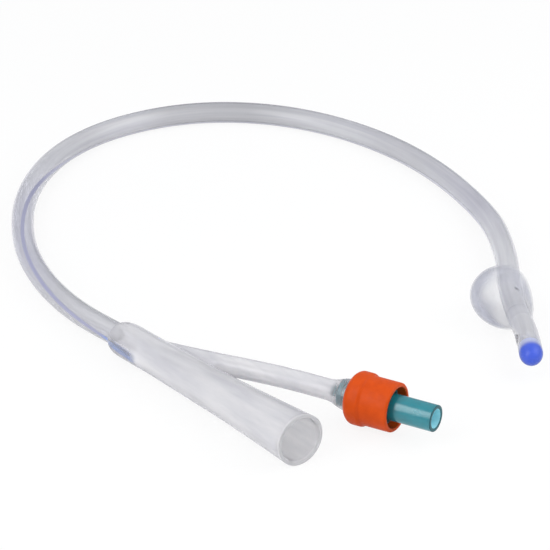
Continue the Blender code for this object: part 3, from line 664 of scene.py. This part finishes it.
def bump(tree, shader, height, strength):
    node = tree.nodes.new("ShaderNodeBump")
    node.inputs["Strength"].default_value = strength
    node.inputs["Distance"].default_value = GRAIN_DEPTH
    tree.links.new(height, node.inputs["Height"])
    tree.links.new(node.outputs["Normal"], shader.inputs["Normal"])


def shade_rim(tree, shader, tint):
    """An outer layer whose tint grows with the slant of the light through it."""
    shader.inputs["Coat Weight"].default_value = 1.0
    shader.inputs["Coat IOR"].default_value = 1.05
    shader.inputs["Coat Roughness"].default_value = 0.2
    feed(tree, shader.inputs["Coat Tint"], tint)


def deepen(tree, colour, density):
    """Thicker silicone takes more light away: density is for each metre of the way through."""
    depth = tree.nodes.new("ShaderNodeVolumeAbsorption")
    depth.inputs["Color"].default_value = (*colour, 1.0)
    depth.inputs["Density"].default_value = density
    out = next(node for node in tree.nodes if node.type == "OUTPUT_MATERIAL")
    tree.links.new(depth.outputs["Volume"], out.inputs["Volume"])


def silicone(name, light, dark, transmission, roughness, colour_scale=260, light_and_lavender=None, **where):
    """Milky clear silicone: part clear, part scattering, with faint flow streaks and a soft skin."""
    made, tree, shader = new_material(name)
    base = clouded(tree, colour_scale, light, dark, **where)
    if light_and_lavender:
        toned = tree.nodes.new("ShaderNodeVectorMath")
        toned.operation = "MULTIPLY"
        tree.links.new(base, toned.inputs[0])
        tree.links.new(attribute(tree, light_and_lavender, "Vector"), toned.inputs[1])
        base = toned.outputs["Vector"]
    tree.links.new(base, shader.inputs["Base Color"])
    shader.inputs["Transmission Weight"].default_value = transmission
    shader.inputs["IOR"].default_value = SILICONE_IOR
    roughen(tree, shader, SKIN_GRAIN, roughness * (1 - ROUGHNESS_GIVE), roughness * (1 + ROUGHNESS_GIVE))
    return made, tree, shader


def shaft_silicone():
    """The tube's skin, with painted light and shade and a lavender tinge along it, which the shaft's mesh
    holds.
    """
    made, tree, shader = silicone("clear silicone", (0.95, 0.95, 0.965), (0.77, 0.77, 0.815), 0.50, 0.22,
                                  colour_scale=650, light_and_lavender="light_and_lavender", lay="flow")
    # The rim tint is lighter where the skin is painted lighter, so this is painted light too
    tint = mixed(tree, attribute(tree, "painted_light"), (0.945, 0.945, 0.957), (0.985, 0.985, 0.99))
    shade_rim(tree, shader, tint)
    deepen(tree, (0.30, 0.29, 0.46), 9.0)
    return made


def moulded_silicone():
    """The Y's skin, milky but for the places that its mesh marks as clear."""
    milky, clear = 0.50, 0.82
    made, tree, shader = silicone("moulded silicone", (1.0, 0.99, 0.985), (0.82, 0.815, 0.84), milky, 0.225,
                                  colour_scale=380, stretch=(0.12, 1.0, 1.0))
    shade_rim(tree, shader, (0.96, 0.96, 0.97))
    deepen(tree, (0.30, 0.29, 0.38), 12.0)
    tree.links.new(mapped(tree, attribute(tree, "clearness"), milky, clear),
                   shader.inputs["Transmission Weight"])
    return made


def balloon_film():
    """A clear film as a grey veil, which is painted shade: it covers less of what lies behind where faced,
    and more where seen aslant.
    """
    made, tree, shader = new_material("thin clear silicone")
    tree.links.new(clouded(tree, 300, (0.52, 0.53, 0.60), (0.48, 0.49, 0.56)), shader.inputs["Base Color"])
    shader.inputs["Roughness"].default_value = 0.15
    facing = tree.nodes.new("ShaderNodeLayerWeight")
    facing.inputs["Blend"].default_value = 0.5
    cover = mapped(tree, facing.outputs["Facing"], low=0.13, high=0.55, start=0.16, end=0.58, smooth=True)
    tree.links.new(calculated(tree, "MULTIPLY", cover, attribute(tree, "shade_veil")), shader.inputs["Alpha"])
    return made


def plain(name, light, dark, roughness, grain=0.1, metallic=0.0, transmission=0.0, ior=1.45, specular=0.5):
    """Plastic, rubber or metal with a fine grain, which is as strong as grain says."""
    made, tree, shader = new_material(name)
    tree.links.new(clouded(tree, PLASTIC_CLOUD, light, dark), shader.inputs["Base Color"])
    for socket, value in (("Metallic", metallic), ("Transmission Weight", transmission), ("IOR", ior),
                          ("Specular IOR Level", specular)):
        shader.inputs[socket].default_value = value
    texture = roughen(tree, shader, PLASTIC_GRAIN, roughness * (1 - ROUGHNESS_GIVE),
                      roughness * (1 + ROUGHNESS_GIVE))
    bump(tree, shader, texture, grain)
    return made


def line_blue():
    """The line's blue, paler where the clear skin over it is thicker, by its own colour attribute."""
    made, tree, shader = new_material("x-ray line blue")
    tint = attribute(tree, "tint", "Color")
    tree.links.new(clouded(tree, PLASTIC_CLOUD, tint, (0.30, 0.31, 0.48), most=0.2),
                   shader.inputs["Base Color"])
    shader.inputs["Roughness"].default_value = 0.4
    return made


def royal_tip():
    """Royal blue silicone at the dome, paler towards the bond, by a share that the tip's mesh holds."""
    made, tree, shader = new_material("royal blue silicone")
    deep = clouded(tree, 700, (0.074, 0.142, 0.86), (0.062, 0.130, 0.82), roughness=0.5)
    base = mixed(tree, attribute(tree, "blue"), (0.57, 0.61, 0.96), deep)
    tree.links.new(base, shader.inputs["Base Color"])
    shader.inputs["Transmission Weight"].default_value = 0.12
    shader.inputs["IOR"].default_value = SILICONE_IOR
    shade_rim(tree, shader, (0.94, 0.94, 0.88))
    roughen(tree, shader, TIP_GRAIN, 0.30, 0.38)
    return made


def paint(piece, slot, *coatings):
    for coating in coatings:
        piece.data.materials.append(coating)


shaft_skin = shaft_silicone()
moulded_skin = moulded_silicone()
inner_skin, _, _ = silicone("lumen wall", (0.98, 0.98, 0.99), (0.97, 0.97, 0.985), 1.0, 0.12)
cut_face, _, _ = silicone("cut silicone", (0.80, 0.795, 0.81), (0.74, 0.735, 0.75), 0.35, 0.22)
balloon_skin = balloon_film()
stripe_blue = line_blue()
tip_blue = royal_tip()
sleeve_orange = plain("orange sleeve", (0.66, 0.074, 0.0024), (0.60, 0.064, 0.0018), 0.5, grain=0.25,
                      specular=0.2)
teal_clear = plain("clear teal plastic", (0.011, 0.405, 0.475), (0.008, 0.355, 0.425), 0.21, grain=0.03,
                   transmission=0.6, ior=1.68)
# A light copy of the teal plastic for the luer's bore, which is painted light, and a dark copy for the end
# of its mouth, which is painted shade
teal_painted_light = plain("teal bore", (0.42, 0.84, 0.93), (0.36, 0.78, 0.88), 0.20)
teal_painted_shade = plain("teal edge", (0.008, 0.10, 0.12), (0.006, 0.085, 0.105), 0.20, grain=0.03, specular=0.25)
teal_solid = plain("teal plastic", (0.03, 0.33, 0.40), (0.02, 0.29, 0.36), 0.15, transmission=0.3)
plunger_white = plain("white plastic", (0.85, 0.85, 0.83), (0.80, 0.80, 0.78), 0.4)
seal_white = plain("white rubber", (0.72, 0.71, 0.67), (0.66, 0.65, 0.61), 0.6)
spring_steel = plain("spring steel", (0.60, 0.61, 0.63), (0.50, 0.51, 0.53), 0.28, metallic=1.0)


# Shaft, x-ray line, tip and balloon

def give_painted_light(mesh, per_ring):
    """Painted light and shade along the shaft's skin, and its lavender tinge."""
    places, painted_lights, lavenders = zip(*PAINTED_LIGHT_AND_LAVENDER)
    along_shaft = np.array(shaft_places) / MM
    painted_light = np.interp(along_shaft, places, painted_lights)
    blue = between(PAINTED_SHADE_DARKEST, PAINTED_LIGHT_BRIGHTEST, painted_light)
    red_green = blue * (1 - LAVENDER * np.interp(along_shaft, places, lavenders))
    light_and_lavender_rows = np.stack([red_green, red_green, blue], axis=1)
    give(mesh, "light_and_lavender", np.repeat(light_and_lavender_rows, per_ring, axis=0).ravel(), "FLOAT_VECTOR")
    give(mesh, "painted_light", np.repeat(painted_light, per_ring))


def cut_wall(shaft, name, distance, turn_deg, inner_r, length, width, sides):
    """An oval hole out through the shaft's wall, turned so far from the inflation lumen."""
    centre, along, inward, up = line.frame(distance)
    angle = math.radians(inflation_turn(distance) + turn_deg)
    out = inward * math.cos(angle) + up * math.sin(angle)
    rings = [ring_about(centre + out * reach, along, out.cross(along), length / 2, sides, width / 2)
             for reach in (inner_r, SHAFT_R + CUT_PAST)]
    combine(shaft, form(name, rings), "DIFFERENCE", CUT_SLOT)


def make_shaft():
    outer = [(SHAFT_R, 360 * i / SHAFT_SIDES) for i in range(SHAFT_SIDES)]
    outlines = (outer, drain_outline(LUMEN_SIDES), inflation_outline())
    sections = []
    flow = []
    for distance in shaft_places:
        loops = [line.section(distance, outline, inflation_turn(distance)) for outline in outlines]
        sections.append(loops)
        centre, _, inward, up = line.frame(distance)
        for point in (point for loop in loops for point in loop):
            out = point - centre
            flow += [out.dot(inward), out.dot(up), distance * STREAK_DRAW]
    mesh = loft_with_holes("shaft_tube", sections)
    give(mesh, "flow", flow, "FLOAT_VECTOR")
    give_painted_light(mesh, sum(len(loop) for loop in sections[0]))
    shaft = add_object("shaft_tube", mesh)
    for back, turn in zip(EYE_FROM_TIP, (-EYE_FROM_INFLATION_DEG, EYE_FROM_INFLATION_DEG)):
        cut_wall(shaft, "eye", shaft_end - back, turn, DRAIN_LUMEN_R / 2, EYE_LENGTH, EYE_WIDTH, EYE_SIDES)
    cut_wall(shaft, "port", line.length - BALLOON_FROM_APEX, 0.0, INFLATION_LUMEN_OFFSET, PORT_DIAMETER,
             PORT_DIAMETER, PORT_SIDES)
    shade(shaft.data)
    paint(shaft, "clear_silicone", shaft_skin, inner_skin, cut_face)
    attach(shaft, "catheter")
    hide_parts("catheter_shaft")
    return shaft


def make_stripe():
    """The line's silicone is one with the tube round it, so its face is flush and leaves no gap."""
    half = math.degrees(STRIPE_WIDTH / 2 / SHAFT_R)
    floor = SHAFT_R - STRIPE_DEPTH
    face = SHAFT_R + FLUSH
    corners = [(face, half * (1 - 2 * i / STRIPE_STEPS)) for i in range(STRIPE_STEPS + 1)]
    corners += [(floor, -half), (floor, half)]
    distances = stations(-SHAFT_IN_COLLAR, shaft_end, SHAFT_STATION)
    mesh = loft("shaft_line", [line.section(distance, corners, stripe_turn(distance))
                               for distance in distances])
    places = [place * MM for place, _ in STRIPE_TINT]
    tint = []
    for distance in distances:
        colour = [float(np.interp(distance, places, [shades[i] for _, shades in STRIPE_TINT]))
                  for i in range(3)]
        tint += (colour + [1.0]) * len(corners)
    give(mesh, "tint", tint, "FLOAT_COLOR")
    stripe = add_object("shaft_line", mesh)
    paint(stripe, "blue_line", stripe_blue)
    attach(stripe, "catheter")
    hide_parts("xray_line")
    return stripe


def make_tip():
    end, along, inward, up = line.frame(shaft_end)
    straight = TIP_LENGTH - TIP_DOME_LENGTH
    smallest = 1e-6
    profile = [(-FLUSH, SHAFT_R - TIP_BOND_INSET), (0.0, SHAFT_R)]
    profile += [(straight * i / TIP_STRAIGHT_STEPS, SHAFT_R) for i in range(1, TIP_STRAIGHT_STEPS + 1)]
    for i in range(1, TIP_DOME_STEPS + 1):
        angle = math.pi / 2 * i / TIP_DOME_STEPS
        profile.append((straight + (TIP_LENGTH - straight) * math.sin(angle),
                        max(SHAFT_R * math.cos(angle), smallest)))
    tip = form("tip_dome", [ring_about(end + along * x, inward, up, radius, TIP_SIDES)
                            for x, radius in profile])
    turn = inflation_turn(shaft_end)
    stub = [(reach, degrees + turn) for reach, degrees in drain_outline(TIP_SIDES)]
    stub_rings = [ring_through(end + along * depth, inward, up, stub)
                  for depth in (-TIP_STUB_LENGTH, -FLUSH)]
    stub_rings.append([point + along * TIP_STUB_LAP for point in stub_rings[-1]])
    combine(tip, form("stub", stub_rings), "UNION")
    shade(tip.data)
    shares = [(vertex.co - end).dot(along) / TIP_LENGTH for vertex in tip.data.vertices]
    give(tip.data, "blue", [ease((share - TIP_PALE) / TIP_DEEPENS) for share in shares])
    paint(tip, "royal_blue_silicone", tip_blue)
    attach(tip, "catheter")
    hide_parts("rounded_tip")
    return tip


def balloon_shade_veil(place, bulge, towards):
    """The film's cover, which is painted shade: place is a share of the half length, and towards is 1 on the
    loop's inner side.
    """
    shade_band = math.exp(-((place - SHADE_BAND_PLACE) / SHADE_BAND_WIDTH) ** 2) * max(towards, 0.0) ** SHADE_BAND_NARROWING
    side = ease(abs(towards) * VEIL_SIDE_SPREAD) * (1.0 if towards > 0 else VEIL_OUTWARD)
    around = between(VEIL_ON_TOP, 1, side)
    return VEIL_AT_CUFF + (1 - VEIL_AT_CUFF) * ease(bulge * VEIL_SHOULDER) * around + SHADE_BAND_VEIL * shade_band


def make_balloon():
    middle = line.length - BALLOON_FROM_APEX
    half = BALLOON_LENGTH / 2
    bore = SHAFT_R - FLUSH
    places = [(-half - CUFF_LENGTH + CUFF_LENGTH * i / CUFF_STEPS, 0.0) for i in range(CUFF_STEPS + 1)]
    for i in range(1, BALLOON_STEPS):
        angle = math.pi * i / BALLOON_STEPS
        places.append((-half * math.cos(angle), math.sin(angle) ** BALLOON_FULLNESS))
    places += [(half + CUFF_LENGTH * i / CUFF_STEPS, 0.0) for i in range(CUFF_STEPS + 1)]

    def ring(place, bulge, wall):
        wall = wall * ease((half + CUFF_LENGTH - abs(place)) / CUFF_TAPER + CUFF_EDGE)
        across = bore + (BALLOON_HALF_WIDTH - BALLOON_WALL - bore) * bulge + wall
        height = bore + (BALLOON_HALF_HEIGHT - BALLOON_WALL - bore) * bulge + wall
        centre, _, inward, up = line.frame(middle + place)
        centre = centre + inward * (BALLOON_INWARD * bulge) + up * (BALLOON_UPWARD * bulge)
        return ring_about(centre, inward, up, across, BALLOON_SIDES, height)

    rings = [ring(place, bulge, BALLOON_WALL) for place, bulge in places]
    rings += [ring(place, bulge, 0.0) for place, bulge in reversed(places)]
    mesh = loft_loop("balloon_skin", rings)
    give(mesh, "shade_veil", [balloon_shade_veil(place / half, bulge, math.cos(math.tau * i / BALLOON_SIDES))
                        for place, bulge in places + places[::-1] for i in range(BALLOON_SIDES)])
    balloon = add_object("balloon_skin", mesh)
    paint(balloon, "thin_clear_silicone", balloon_skin)
    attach(balloon, "catheter")
    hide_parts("balloon")
    return balloon


# Moulded Y

def arm_centre(x):
    plan = SLEEVE_FACE + ARM_ALONG * x
    share = ease((x + ARM_LENGTH) / (ARM_STRAIGHT_FROM + ARM_LENGTH))
    low = funnel_height(ARM_ROOT_X)
    return COLLAR_PLACE + Vector((plan.x, plan.y, between(low, VALVE_HEIGHT, share)))


def arm_rings(corners, sides):
    side = Vector((-ARM_ALONG.y, ARM_ALONG.x, 0))
    return [ring_about(arm_centre(x), side, UP, radius, sides) for x, radius in corners]


def upright(x, half_width, half_height, y=0.0):
    """An upright ring of the Y, x on from the collar's mouth."""
    centre = COLLAR_PLACE + Vector((x, y, funnel_height(x)))
    return ring_about(centre, SIDEWAYS, UP, half_width, Y_SIDES, half_height)


def funnel_outside():
    """The collar's round nose, the collar, the neck down to the waist, and the flare to past the mouth."""
    nose = SHAFT_R + NOSE_WALL
    outline = []
    for i in range(NOSE_STEPS + 1):
        angle = math.pi / 2 * i / NOSE_STEPS
        outline.append((COLLAR_SHOULDER * (1 - math.cos(angle)),
                        between(nose, COLLAR_HALF_WIDTH, math.sin(angle)),
                        between(nose, COLLAR_HALF_HEIGHT, math.sin(angle))))
    for i in range(1, COLLAR_STEPS + 1):
        x = COLLAR_SHOULDER + (COLLAR_LENGTH - COLLAR_SHOULDER) * i / COLLAR_STEPS
        outline.append((x, COLLAR_HALF_WIDTH, COLLAR_HALF_HEIGHT))
    for i in range(1, NECK_STEPS + 1):
        share = i / NECK_STEPS
        outline.append((between(COLLAR_LENGTH, FUNNEL_WAIST_X, share),
                        between(COLLAR_HALF_WIDTH, FUNNEL_WAIST_R, share),
                        between(COLLAR_HALF_HEIGHT, FUNNEL_WAIST_R, share)))
    for i in range(1, FLARE_STEPS + 1):
        share = i / FLARE_STEPS
        radius = between(FUNNEL_WAIST_R, FUNNEL_MOUTH_R, share ** FUNNEL_FLARE)
        outline.append((between(FUNNEL_WAIST_X, Y_LENGTH, share), radius, radius))
    outline.append((Y_LENGTH + CUT_PAST, FUNNEL_MOUTH_R, FUNNEL_MOUTH_R))
    return [upright(*corner) for corner in outline]


def arm_outside():
    """The arm from its root in the collar to past its end, which is stretched over the valve."""
    root = -ARM_LENGTH
    arm_r = ARM_OD / 2
    end_r = ARM_END_OD / 2
    corners = [(root + (ARM_STRAIGHT_FROM - root) * i / ARM_STEPS, arm_r) for i in range(ARM_STEPS + 1)]
    for i in range(ARM_FLARE_STEPS + 1):
        share = i / ARM_FLARE_STEPS
        corners.append((between(ARM_FLARE_START, ARM_FLARE_END, share), between(arm_r, end_r, ease(share))))
    corners.append((ARM_END_DEPTH + CUT_PAST, end_r))
    return arm_rings(corners, ARM_SIDES)


def crotch_web():
    """The web between funnel and arm, thinner towards the crotch."""
    places, thicks = zip(*WEB_HALF_THICKNESS)
    rings = []
    for i in range(WEB_STEPS + 1):
        share = places[0] + (places[-1] - places[0]) * i / WEB_STEPS
        x = between(ARM_ROOT_X, CROTCH_X, share)
        arm_y = arm_centre((x - SLEEVE_FACE.x) / ARM_ALONG.x).y - COLLAR_PLACE.y
        rings.append(upright(x, arm_y / 2, float(np.interp(share, places, thicks)), arm_y / 2))
    return rings


def blend(moulding):
    """Round the outside where its forms meet."""
    remesh = moulding.modifiers.new("Remesh", "REMESH")
    remesh.mode = "VOXEL"
    remesh.voxel_size = BLEND_VOXEL
    bake(moulding)
    smooth = moulding.modifiers.new("Smooth", "SMOOTH")
    smooth.factor = BLEND_FACTOR
    smooth.iterations = BLEND_PASSES
    bake(moulding)


def past_mouth():
    wide = FUNNEL_MOUTH_R + CUT_PAST
    return [upright(Y_LENGTH + past, wide, wide) for past in (0.0, 2 * CUT_PAST)]


def past_arm():
    wide = ARM_END_OD / 2 + CUT_PAST
    return arm_rings([(ARM_END_DEPTH + past, wide) for past in (0.0, 2 * CUT_PAST)], PASSAGE_SIDES)


def drain_bore():
    """The drainage lumen's shape through the nose and the collar, then round and wider to the mouth."""
    distances = stations(NOSE_BOND, CUT_PAST, BORE_STATION)[::-1]
    distances += [-depth for depth in stations(0.0, SHAFT_IN_COLLAR, BORE_STATION)]
    rings = [line.section(distance, drain_outline(Y_SIDES), inflation_turn(distance))
             for distance in distances]
    mouth_bore = FUNNEL_MOUTH_R - FUNNEL_MOUTH_WALL
    waist_bore = FUNNEL_WAIST_R - FUNNEL_WAIST_WALL
    rings += [upright(SHAFT_IN_COLLAR + BORE_ROUND_BY, DRAIN_LUMEN_R, DRAIN_LUMEN_R),
              upright(FUNNEL_WAIST_X, waist_bore, waist_bore)]
    flare_end = Y_LENGTH - MOUTH_EDGE_FROM
    for i in range(1, BORE_STEPS + 1):
        share = i / BORE_STEPS
        radius = between(waist_bore, mouth_bore, share)
        rings.append(upright(between(FUNNEL_WAIST_X, flare_end, share), radius, radius))
    edge = mouth_bore + MOUTH_EDGE_WIDER
    rings += [upright(Y_LENGTH + past, edge, edge) for past in (MOUTH_EDGE_PAST, CUT_PAST)]
    return rings


def valve_passage():
    """The way through the arm, with room for the spigot, the cone and the housing's tube."""
    narrow = ARM_BORE / 2
    spigot_room = SPIGOT_R + BOND_GAP
    tube_room = HOUSING_TUBE_OD / 2 + BOND_GAP
    spigot_stop = SPIGOT_END - SEAT_GAP
    corners = [(-ARM_LENGTH, narrow), (-ARM_LENGTH / 2, narrow), (spigot_stop, narrow),
               (spigot_stop + HAIR, spigot_room), (CONE_START - BOND_GAP, spigot_room),
               (CONE_START + RETAINER_CONE - BOND_GAP, tube_room), (ARM_END_DEPTH + CUT_PAST, tube_room)]
    return arm_rings(corners, PASSAGE_SIDES)


def inflation_link():
    """The small bore from the end of the inflation lumen to the arm's."""
    angle = math.radians(inflation_turn(-SHAFT_IN_COLLAR))
    height = funnel_height(SHAFT_IN_COLLAR) + INFLATION_LUMEN_OFFSET * math.sin(angle)
    start = COLLAR_PLACE + Vector((SHAFT_IN_COLLAR, INFLATION_LUMEN_OFFSET * math.cos(angle), height))
    end = arm_centre(LINK_LENGTH - ARM_LENGTH)
    along = (end - start).normalized()
    across = along.cross(UP).normalized()
    return [ring_about(place, across, across.cross(along), LINK_BORE / 2, LINK_SIDES)
            for place in (start, end)]


def small_lumen():
    return [line.section(distance, inflation_outline(), inflation_turn(distance))
            for distance in stations(-SHAFT_IN_COLLAR - LINK_BORE / 2, CUT_PAST, BORE_STATION)]


def clearness_at(point):
    """1 where the moulding is clearest: low in front on the nose, and at the arm's end over the valve."""
    place = point - COLLAR_PLACE
    above = place.z - funnel_height(place.x)
    round_stripe = (place.y * CLEAR_SIDE[0] + above * CLEAR_SIDE[1]) / COLLAR_HALF_HEIGHT
    near_nose = ease((CLEAR_NOSE - place.x) / CLEAR_NOSE_OVER) * ease(round_stripe)
    if place.y <= SLEEVE_FACE.y / 2:
        return near_nose
    back = (place.xy - SLEEVE_FACE).dot(ARM_ALONG)
    return max(near_nose, ease((back - CLEAR_ARM_FROM) / CLEAR_ARM_OVER))


def make_y_funnel():
    """The outside is blended first, and the ends and bores are cut clean afterwards."""
    y_funnel = form("y_body", funnel_outside())
    combine(y_funnel, form("arm", arm_outside()), "UNION")
    combine(y_funnel, form("web", crotch_web()), "UNION")
    blend(y_funnel)
    combine(y_funnel, form("past_mouth", past_mouth()), "DIFFERENCE")
    combine(y_funnel, form("past_arm", past_arm()), "DIFFERENCE")
    for name, rings in (("bore", drain_bore()), ("passage", valve_passage()), ("link", inflation_link()),
                        ("small_lumen", small_lumen())):
        combine(y_funnel, form(name, rings), "DIFFERENCE", INNER_SLOT)
    shade(y_funnel.data, 45)
    for face in y_funnel.data.polygons:
        if face.center.x > COLLAR_PLACE.x + Y_LENGTH - MOUTH_LIP:
            face.material_index = CUT_SLOT
    give(y_funnel.data, "clearness", [clearness_at(vertex.co) for vertex in y_funnel.data.vertices])
    paint(y_funnel, "moulded_silicone", moulded_skin, inner_skin, cut_face)
    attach(y_funnel, "catheter")
    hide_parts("y_funnel")


# Sleeve and valve

VALVE = (Matrix.Translation(COLLAR_PLACE + Vector((*SLEEVE_FACE, VALVE_HEIGHT)))
         @ Matrix.Rotation(math.radians(ARM_HEADING_DEG), 4, "Z"))
INTO_VALVE = VALVE.inverted()


def turned(name, profile):
    """A hollow turned form on the valve's axis, from a closed (x, radius) profile."""
    rings = [ring_about(Vector((x, 0, 0)), SIDEWAYS, UP, radius, VALVE_SIDES) for x, radius in profile]
    mesh = loft_loop(name, rings)
    mesh.transform(VALVE)
    return add_object(name, mesh, sharp_deg=30)


def make_sleeve():
    band_r = SLEEVE_BAND_OD / 2
    body_r = SLEEVE_OD / 2
    lip_bore = ARM_END_OD / 2 + SEAT_GAP
    bore = FLANGE_OD / 2 + SEAT_GAP
    step = ARM_END_DEPTH + SEAT_GAP
    bevel = SLEEVE_EDGE * 0.4
    rise = SLEEVE_EDGE * 0.3
    profile = [(0.0, lip_bore), (0.0, body_r - SLEEVE_EDGE), (bevel, body_r - rise),
               (SLEEVE_BAND_START, band_r - SLEEVE_BAND_RISE),
               (SLEEVE_BAND_START + SLEEVE_BAND_ROUND, band_r),
               (SLEEVE_BAND_END - SLEEVE_BAND_ROUND, band_r), (SLEEVE_BAND_END, body_r),
               (SLEEVE_LENGTH - bevel, body_r), (SLEEVE_LENGTH, body_r - bevel),
               (SLEEVE_LENGTH, bore), (step, bore), (step, lip_bore)]
    sleeve = turned("sleeve_skin", soften(profile, SLEEVE_SOFT))
    paint(sleeve, "orange_sleeve", sleeve_orange)
    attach(sleeve, "catheter")
    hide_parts("colour_sleeve")


def make_housing():
    flange_r = FLANGE_OD / 2
    flange_x = ARM_END_DEPTH + 2 * SEAT_GAP
    tube_r = HOUSING_TUBE_OD / 2
    chamber_r = CHAMBER_OD / 2
    luer_r = LUER_OD / 2
    bore_r = LUER_BORE / 2
    luer_floor = SEAT_X + SEAT_THICK
    floor_r = bore_r - LUER_TAPER / 2 * (LUER_MOUTH_X - luer_floor)
    front_end = FRONT_FLANGE_X + FLANGE_THICK
    profile = [(HOUSING_BACK, CHAMBER_BORE / 2), (HOUSING_BACK, tube_r), (flange_x, tube_r),
               (flange_x, flange_r), (flange_x + FLANGE_THICK, flange_r),
               (flange_x + FLANGE_THICK, chamber_r), (FRONT_FLANGE_X, chamber_r),
               (FRONT_FLANGE_X, flange_r), (front_end, flange_r),
               (front_end, luer_r + LUER_FOOT), (front_end + LUER_FOOT, luer_r),
               (LUER_MOUTH_X, luer_r), (LUER_MOUTH_X, bore_r),
               (luer_floor, floor_r), (luer_floor, SEAT_HOLE / 2), (SEAT_X, SEAT_HOLE / 2),
               (SEAT_X, CHAMBER_BORE / 2)]
    housing = turned("housing_clear", soften(profile, HOUSING_SOFT))
    # The luer's bore is painted light, and the end of its mouth is painted shade
    for face in housing.data.polygons:
        place = INTO_VALVE @ face.center
        if place.x > luer_floor and place.yz.length < bore_r + HAIR:
            face.material_index = 1
        elif place.x > LUER_MOUTH_X - LUER_SHADED_EDGE:
            face.material_index = 2
    paint(housing, "clear_teal_plastic", teal_clear, teal_painted_light, teal_painted_shade)
    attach(housing, "catheter")
    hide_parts("valve_housing")


def make_spring():
    """The return spring, coiled over the length of the CAD's spring."""
    reach = [(INTO_VALVE @ vertex.co).x for vertex in nodes["valve_spring"].data.vertices]
    back, front = min(reach), max(reach)
    start, end = back + SPRING_WIRE_R, front - SPRING_WIRE_R
    count = SPRING_TURNS * SPRING_STEPS
    forward = Vector((1, 0, 0))
    rings = []
    for i in range(count + 1):
        angle = math.tau * i / SPRING_STEPS
        out = Vector((0, math.cos(angle), math.sin(angle)))
        centre = Vector((start + (end - start) * i / count, 0, 0)) + out * SPRING_MEAN_R
        rings.append(ring_about(centre, out, forward, SPRING_WIRE_R, SPRING_SIDES))
    mesh = loft("spring_coil", rings)
    mesh.transform(VALVE)
    spring = add_object("spring_coil", mesh)
    paint(spring, "spring_steel", spring_steel)
    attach(spring, "catheter")
    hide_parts("valve_spring")
    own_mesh(spring)


shaft = make_shaft()
stripe = make_stripe()
tip = make_tip()
balloon = make_balloon()
make_y_funnel()
make_sleeve()
make_housing()
make_spring()

# The retainer, the plunger and its seal stay as the CAD's solids
for name, coating in (("valve_retainer", teal_solid), ("valve_plunger", plunger_white),
                      ("valve_seal", seal_white)):
    for slot in nodes[name].material_slots:
        slot.material = coating
    if not nodes[name].material_slots:
        nodes[name].data.materials.append(coating)


# Floor, light and camera

FLOOR_SIZE = 6.0
FLOOR_DROP = 0.05 * MM
FLOOR_GLOW = 0.88
PHOTO_SIDE_PX = 550
FOCAL_PX = 3500
SENSOR_WIDTH_MM = 36.0


def make_floor():
    """White ground: where it is seen, also by reflection or through the clear parts, most of it is glow."""
    bpy.ops.mesh.primitive_plane_add(size=FLOOR_SIZE, location=(0, 0, -FLOOR_DROP))
    floor = bpy.context.object
    floor.name = "floor"
    made = bpy.data.materials.new("floor")
    tree = bare_tree(made)
    out = tree.nodes.new("ShaderNodeOutputMaterial")
    matte = tree.nodes.new("ShaderNodeBsdfDiffuse")
    matte.inputs["Color"].default_value = (0.93, 0.93, 0.93, 1)
    glow = tree.nodes.new("ShaderNodeEmission")
    glow.inputs["Color"].default_value = (1, 1, 1, 1)
    glow.inputs["Strength"].default_value = 1.0
    rays = tree.nodes.new("ShaderNodeLightPath")
    seen = rays.outputs["Is Camera Ray"]
    for kind in ("Is Glossy Ray", "Is Transmission Ray"):
        seen = calculated(tree, "MAXIMUM", seen, rays.outputs[kind])
    mix = tree.nodes.new("ShaderNodeMixShader")
    tree.links.new(calculated(tree, "MULTIPLY", seen, FLOOR_GLOW), mix.inputs[0])
    tree.links.new(matte.outputs[0], mix.inputs[1])
    tree.links.new(glow.outputs[0], mix.inputs[2])
    tree.links.new(mix.outputs[0], out.inputs["Surface"])
    floor.data.materials.append(made)


def make_world():
    """A grey sky, paler towards the top."""
    world = bpy.data.worlds.new("studio")
    bpy.context.scene.world = world
    tree = bare_tree(world)
    out = tree.nodes.new("ShaderNodeOutputWorld")
    background = tree.nodes.new("ShaderNodeBackground")
    coords = tree.nodes.new("ShaderNodeTexCoord")
    parts = tree.nodes.new("ShaderNodeSeparateXYZ")
    tree.links.new(coords.outputs["Generated"], parts.inputs["Vector"])
    height = mapped(tree, parts.outputs["Z"], 0.0, 1.0, end=0.9)
    tree.links.new(mixed(tree, height, (0.41, 0.42, 0.44), (0.80, 0.81, 0.83)), background.inputs["Color"])
    tree.links.new(background.outputs[0], out.inputs["Surface"])


def area_light(name, place, target, size, power):
    light = bpy.data.lights.new(name, "AREA")
    light.shape = "RECTANGLE"
    light.size, light.size_y = size
    light.energy = power
    lamp = bpy.data.objects.new(name, light)
    bpy.context.collection.objects.link(lamp)
    lamp.location = place
    direction = Vector(target) - Vector(place)
    lamp.rotation_euler = direction.to_track_quat("-Z", "Y").to_euler()


def make_camera():
    lens = bpy.data.cameras.new("camera")
    camera = bpy.data.objects.new("camera", lens)
    bpy.context.collection.objects.link(camera)
    bpy.context.scene.camera = camera
    lens.sensor_width = SENSOR_WIDTH_MM
    lens.lens = FOCAL_PX * SENSOR_WIDTH_MM / PHOTO_SIDE_PX
    lens.clip_start = 0.05
    lens.clip_end = 20.0
    camera.location = (0.5862, -0.4541, 0.3594)
    camera.rotation_euler = (math.radians(64.0), 0.0, math.radians(52.466))


make_floor()
make_world()
# The strip stands in front on the camera's left, and the small fill on its right
area_light("strip", (0.006, -0.534, 0.359), (0.08, -0.03, 0.006), (0.30, 0.60), 1.9)
area_light("fill", (0.20, 0.17, 0.19), (0.08, 0.03, 0), (0.26, 0.26), 0.38)
make_camera()

bpy.context.scene.view_settings.view_transform = "Standard"
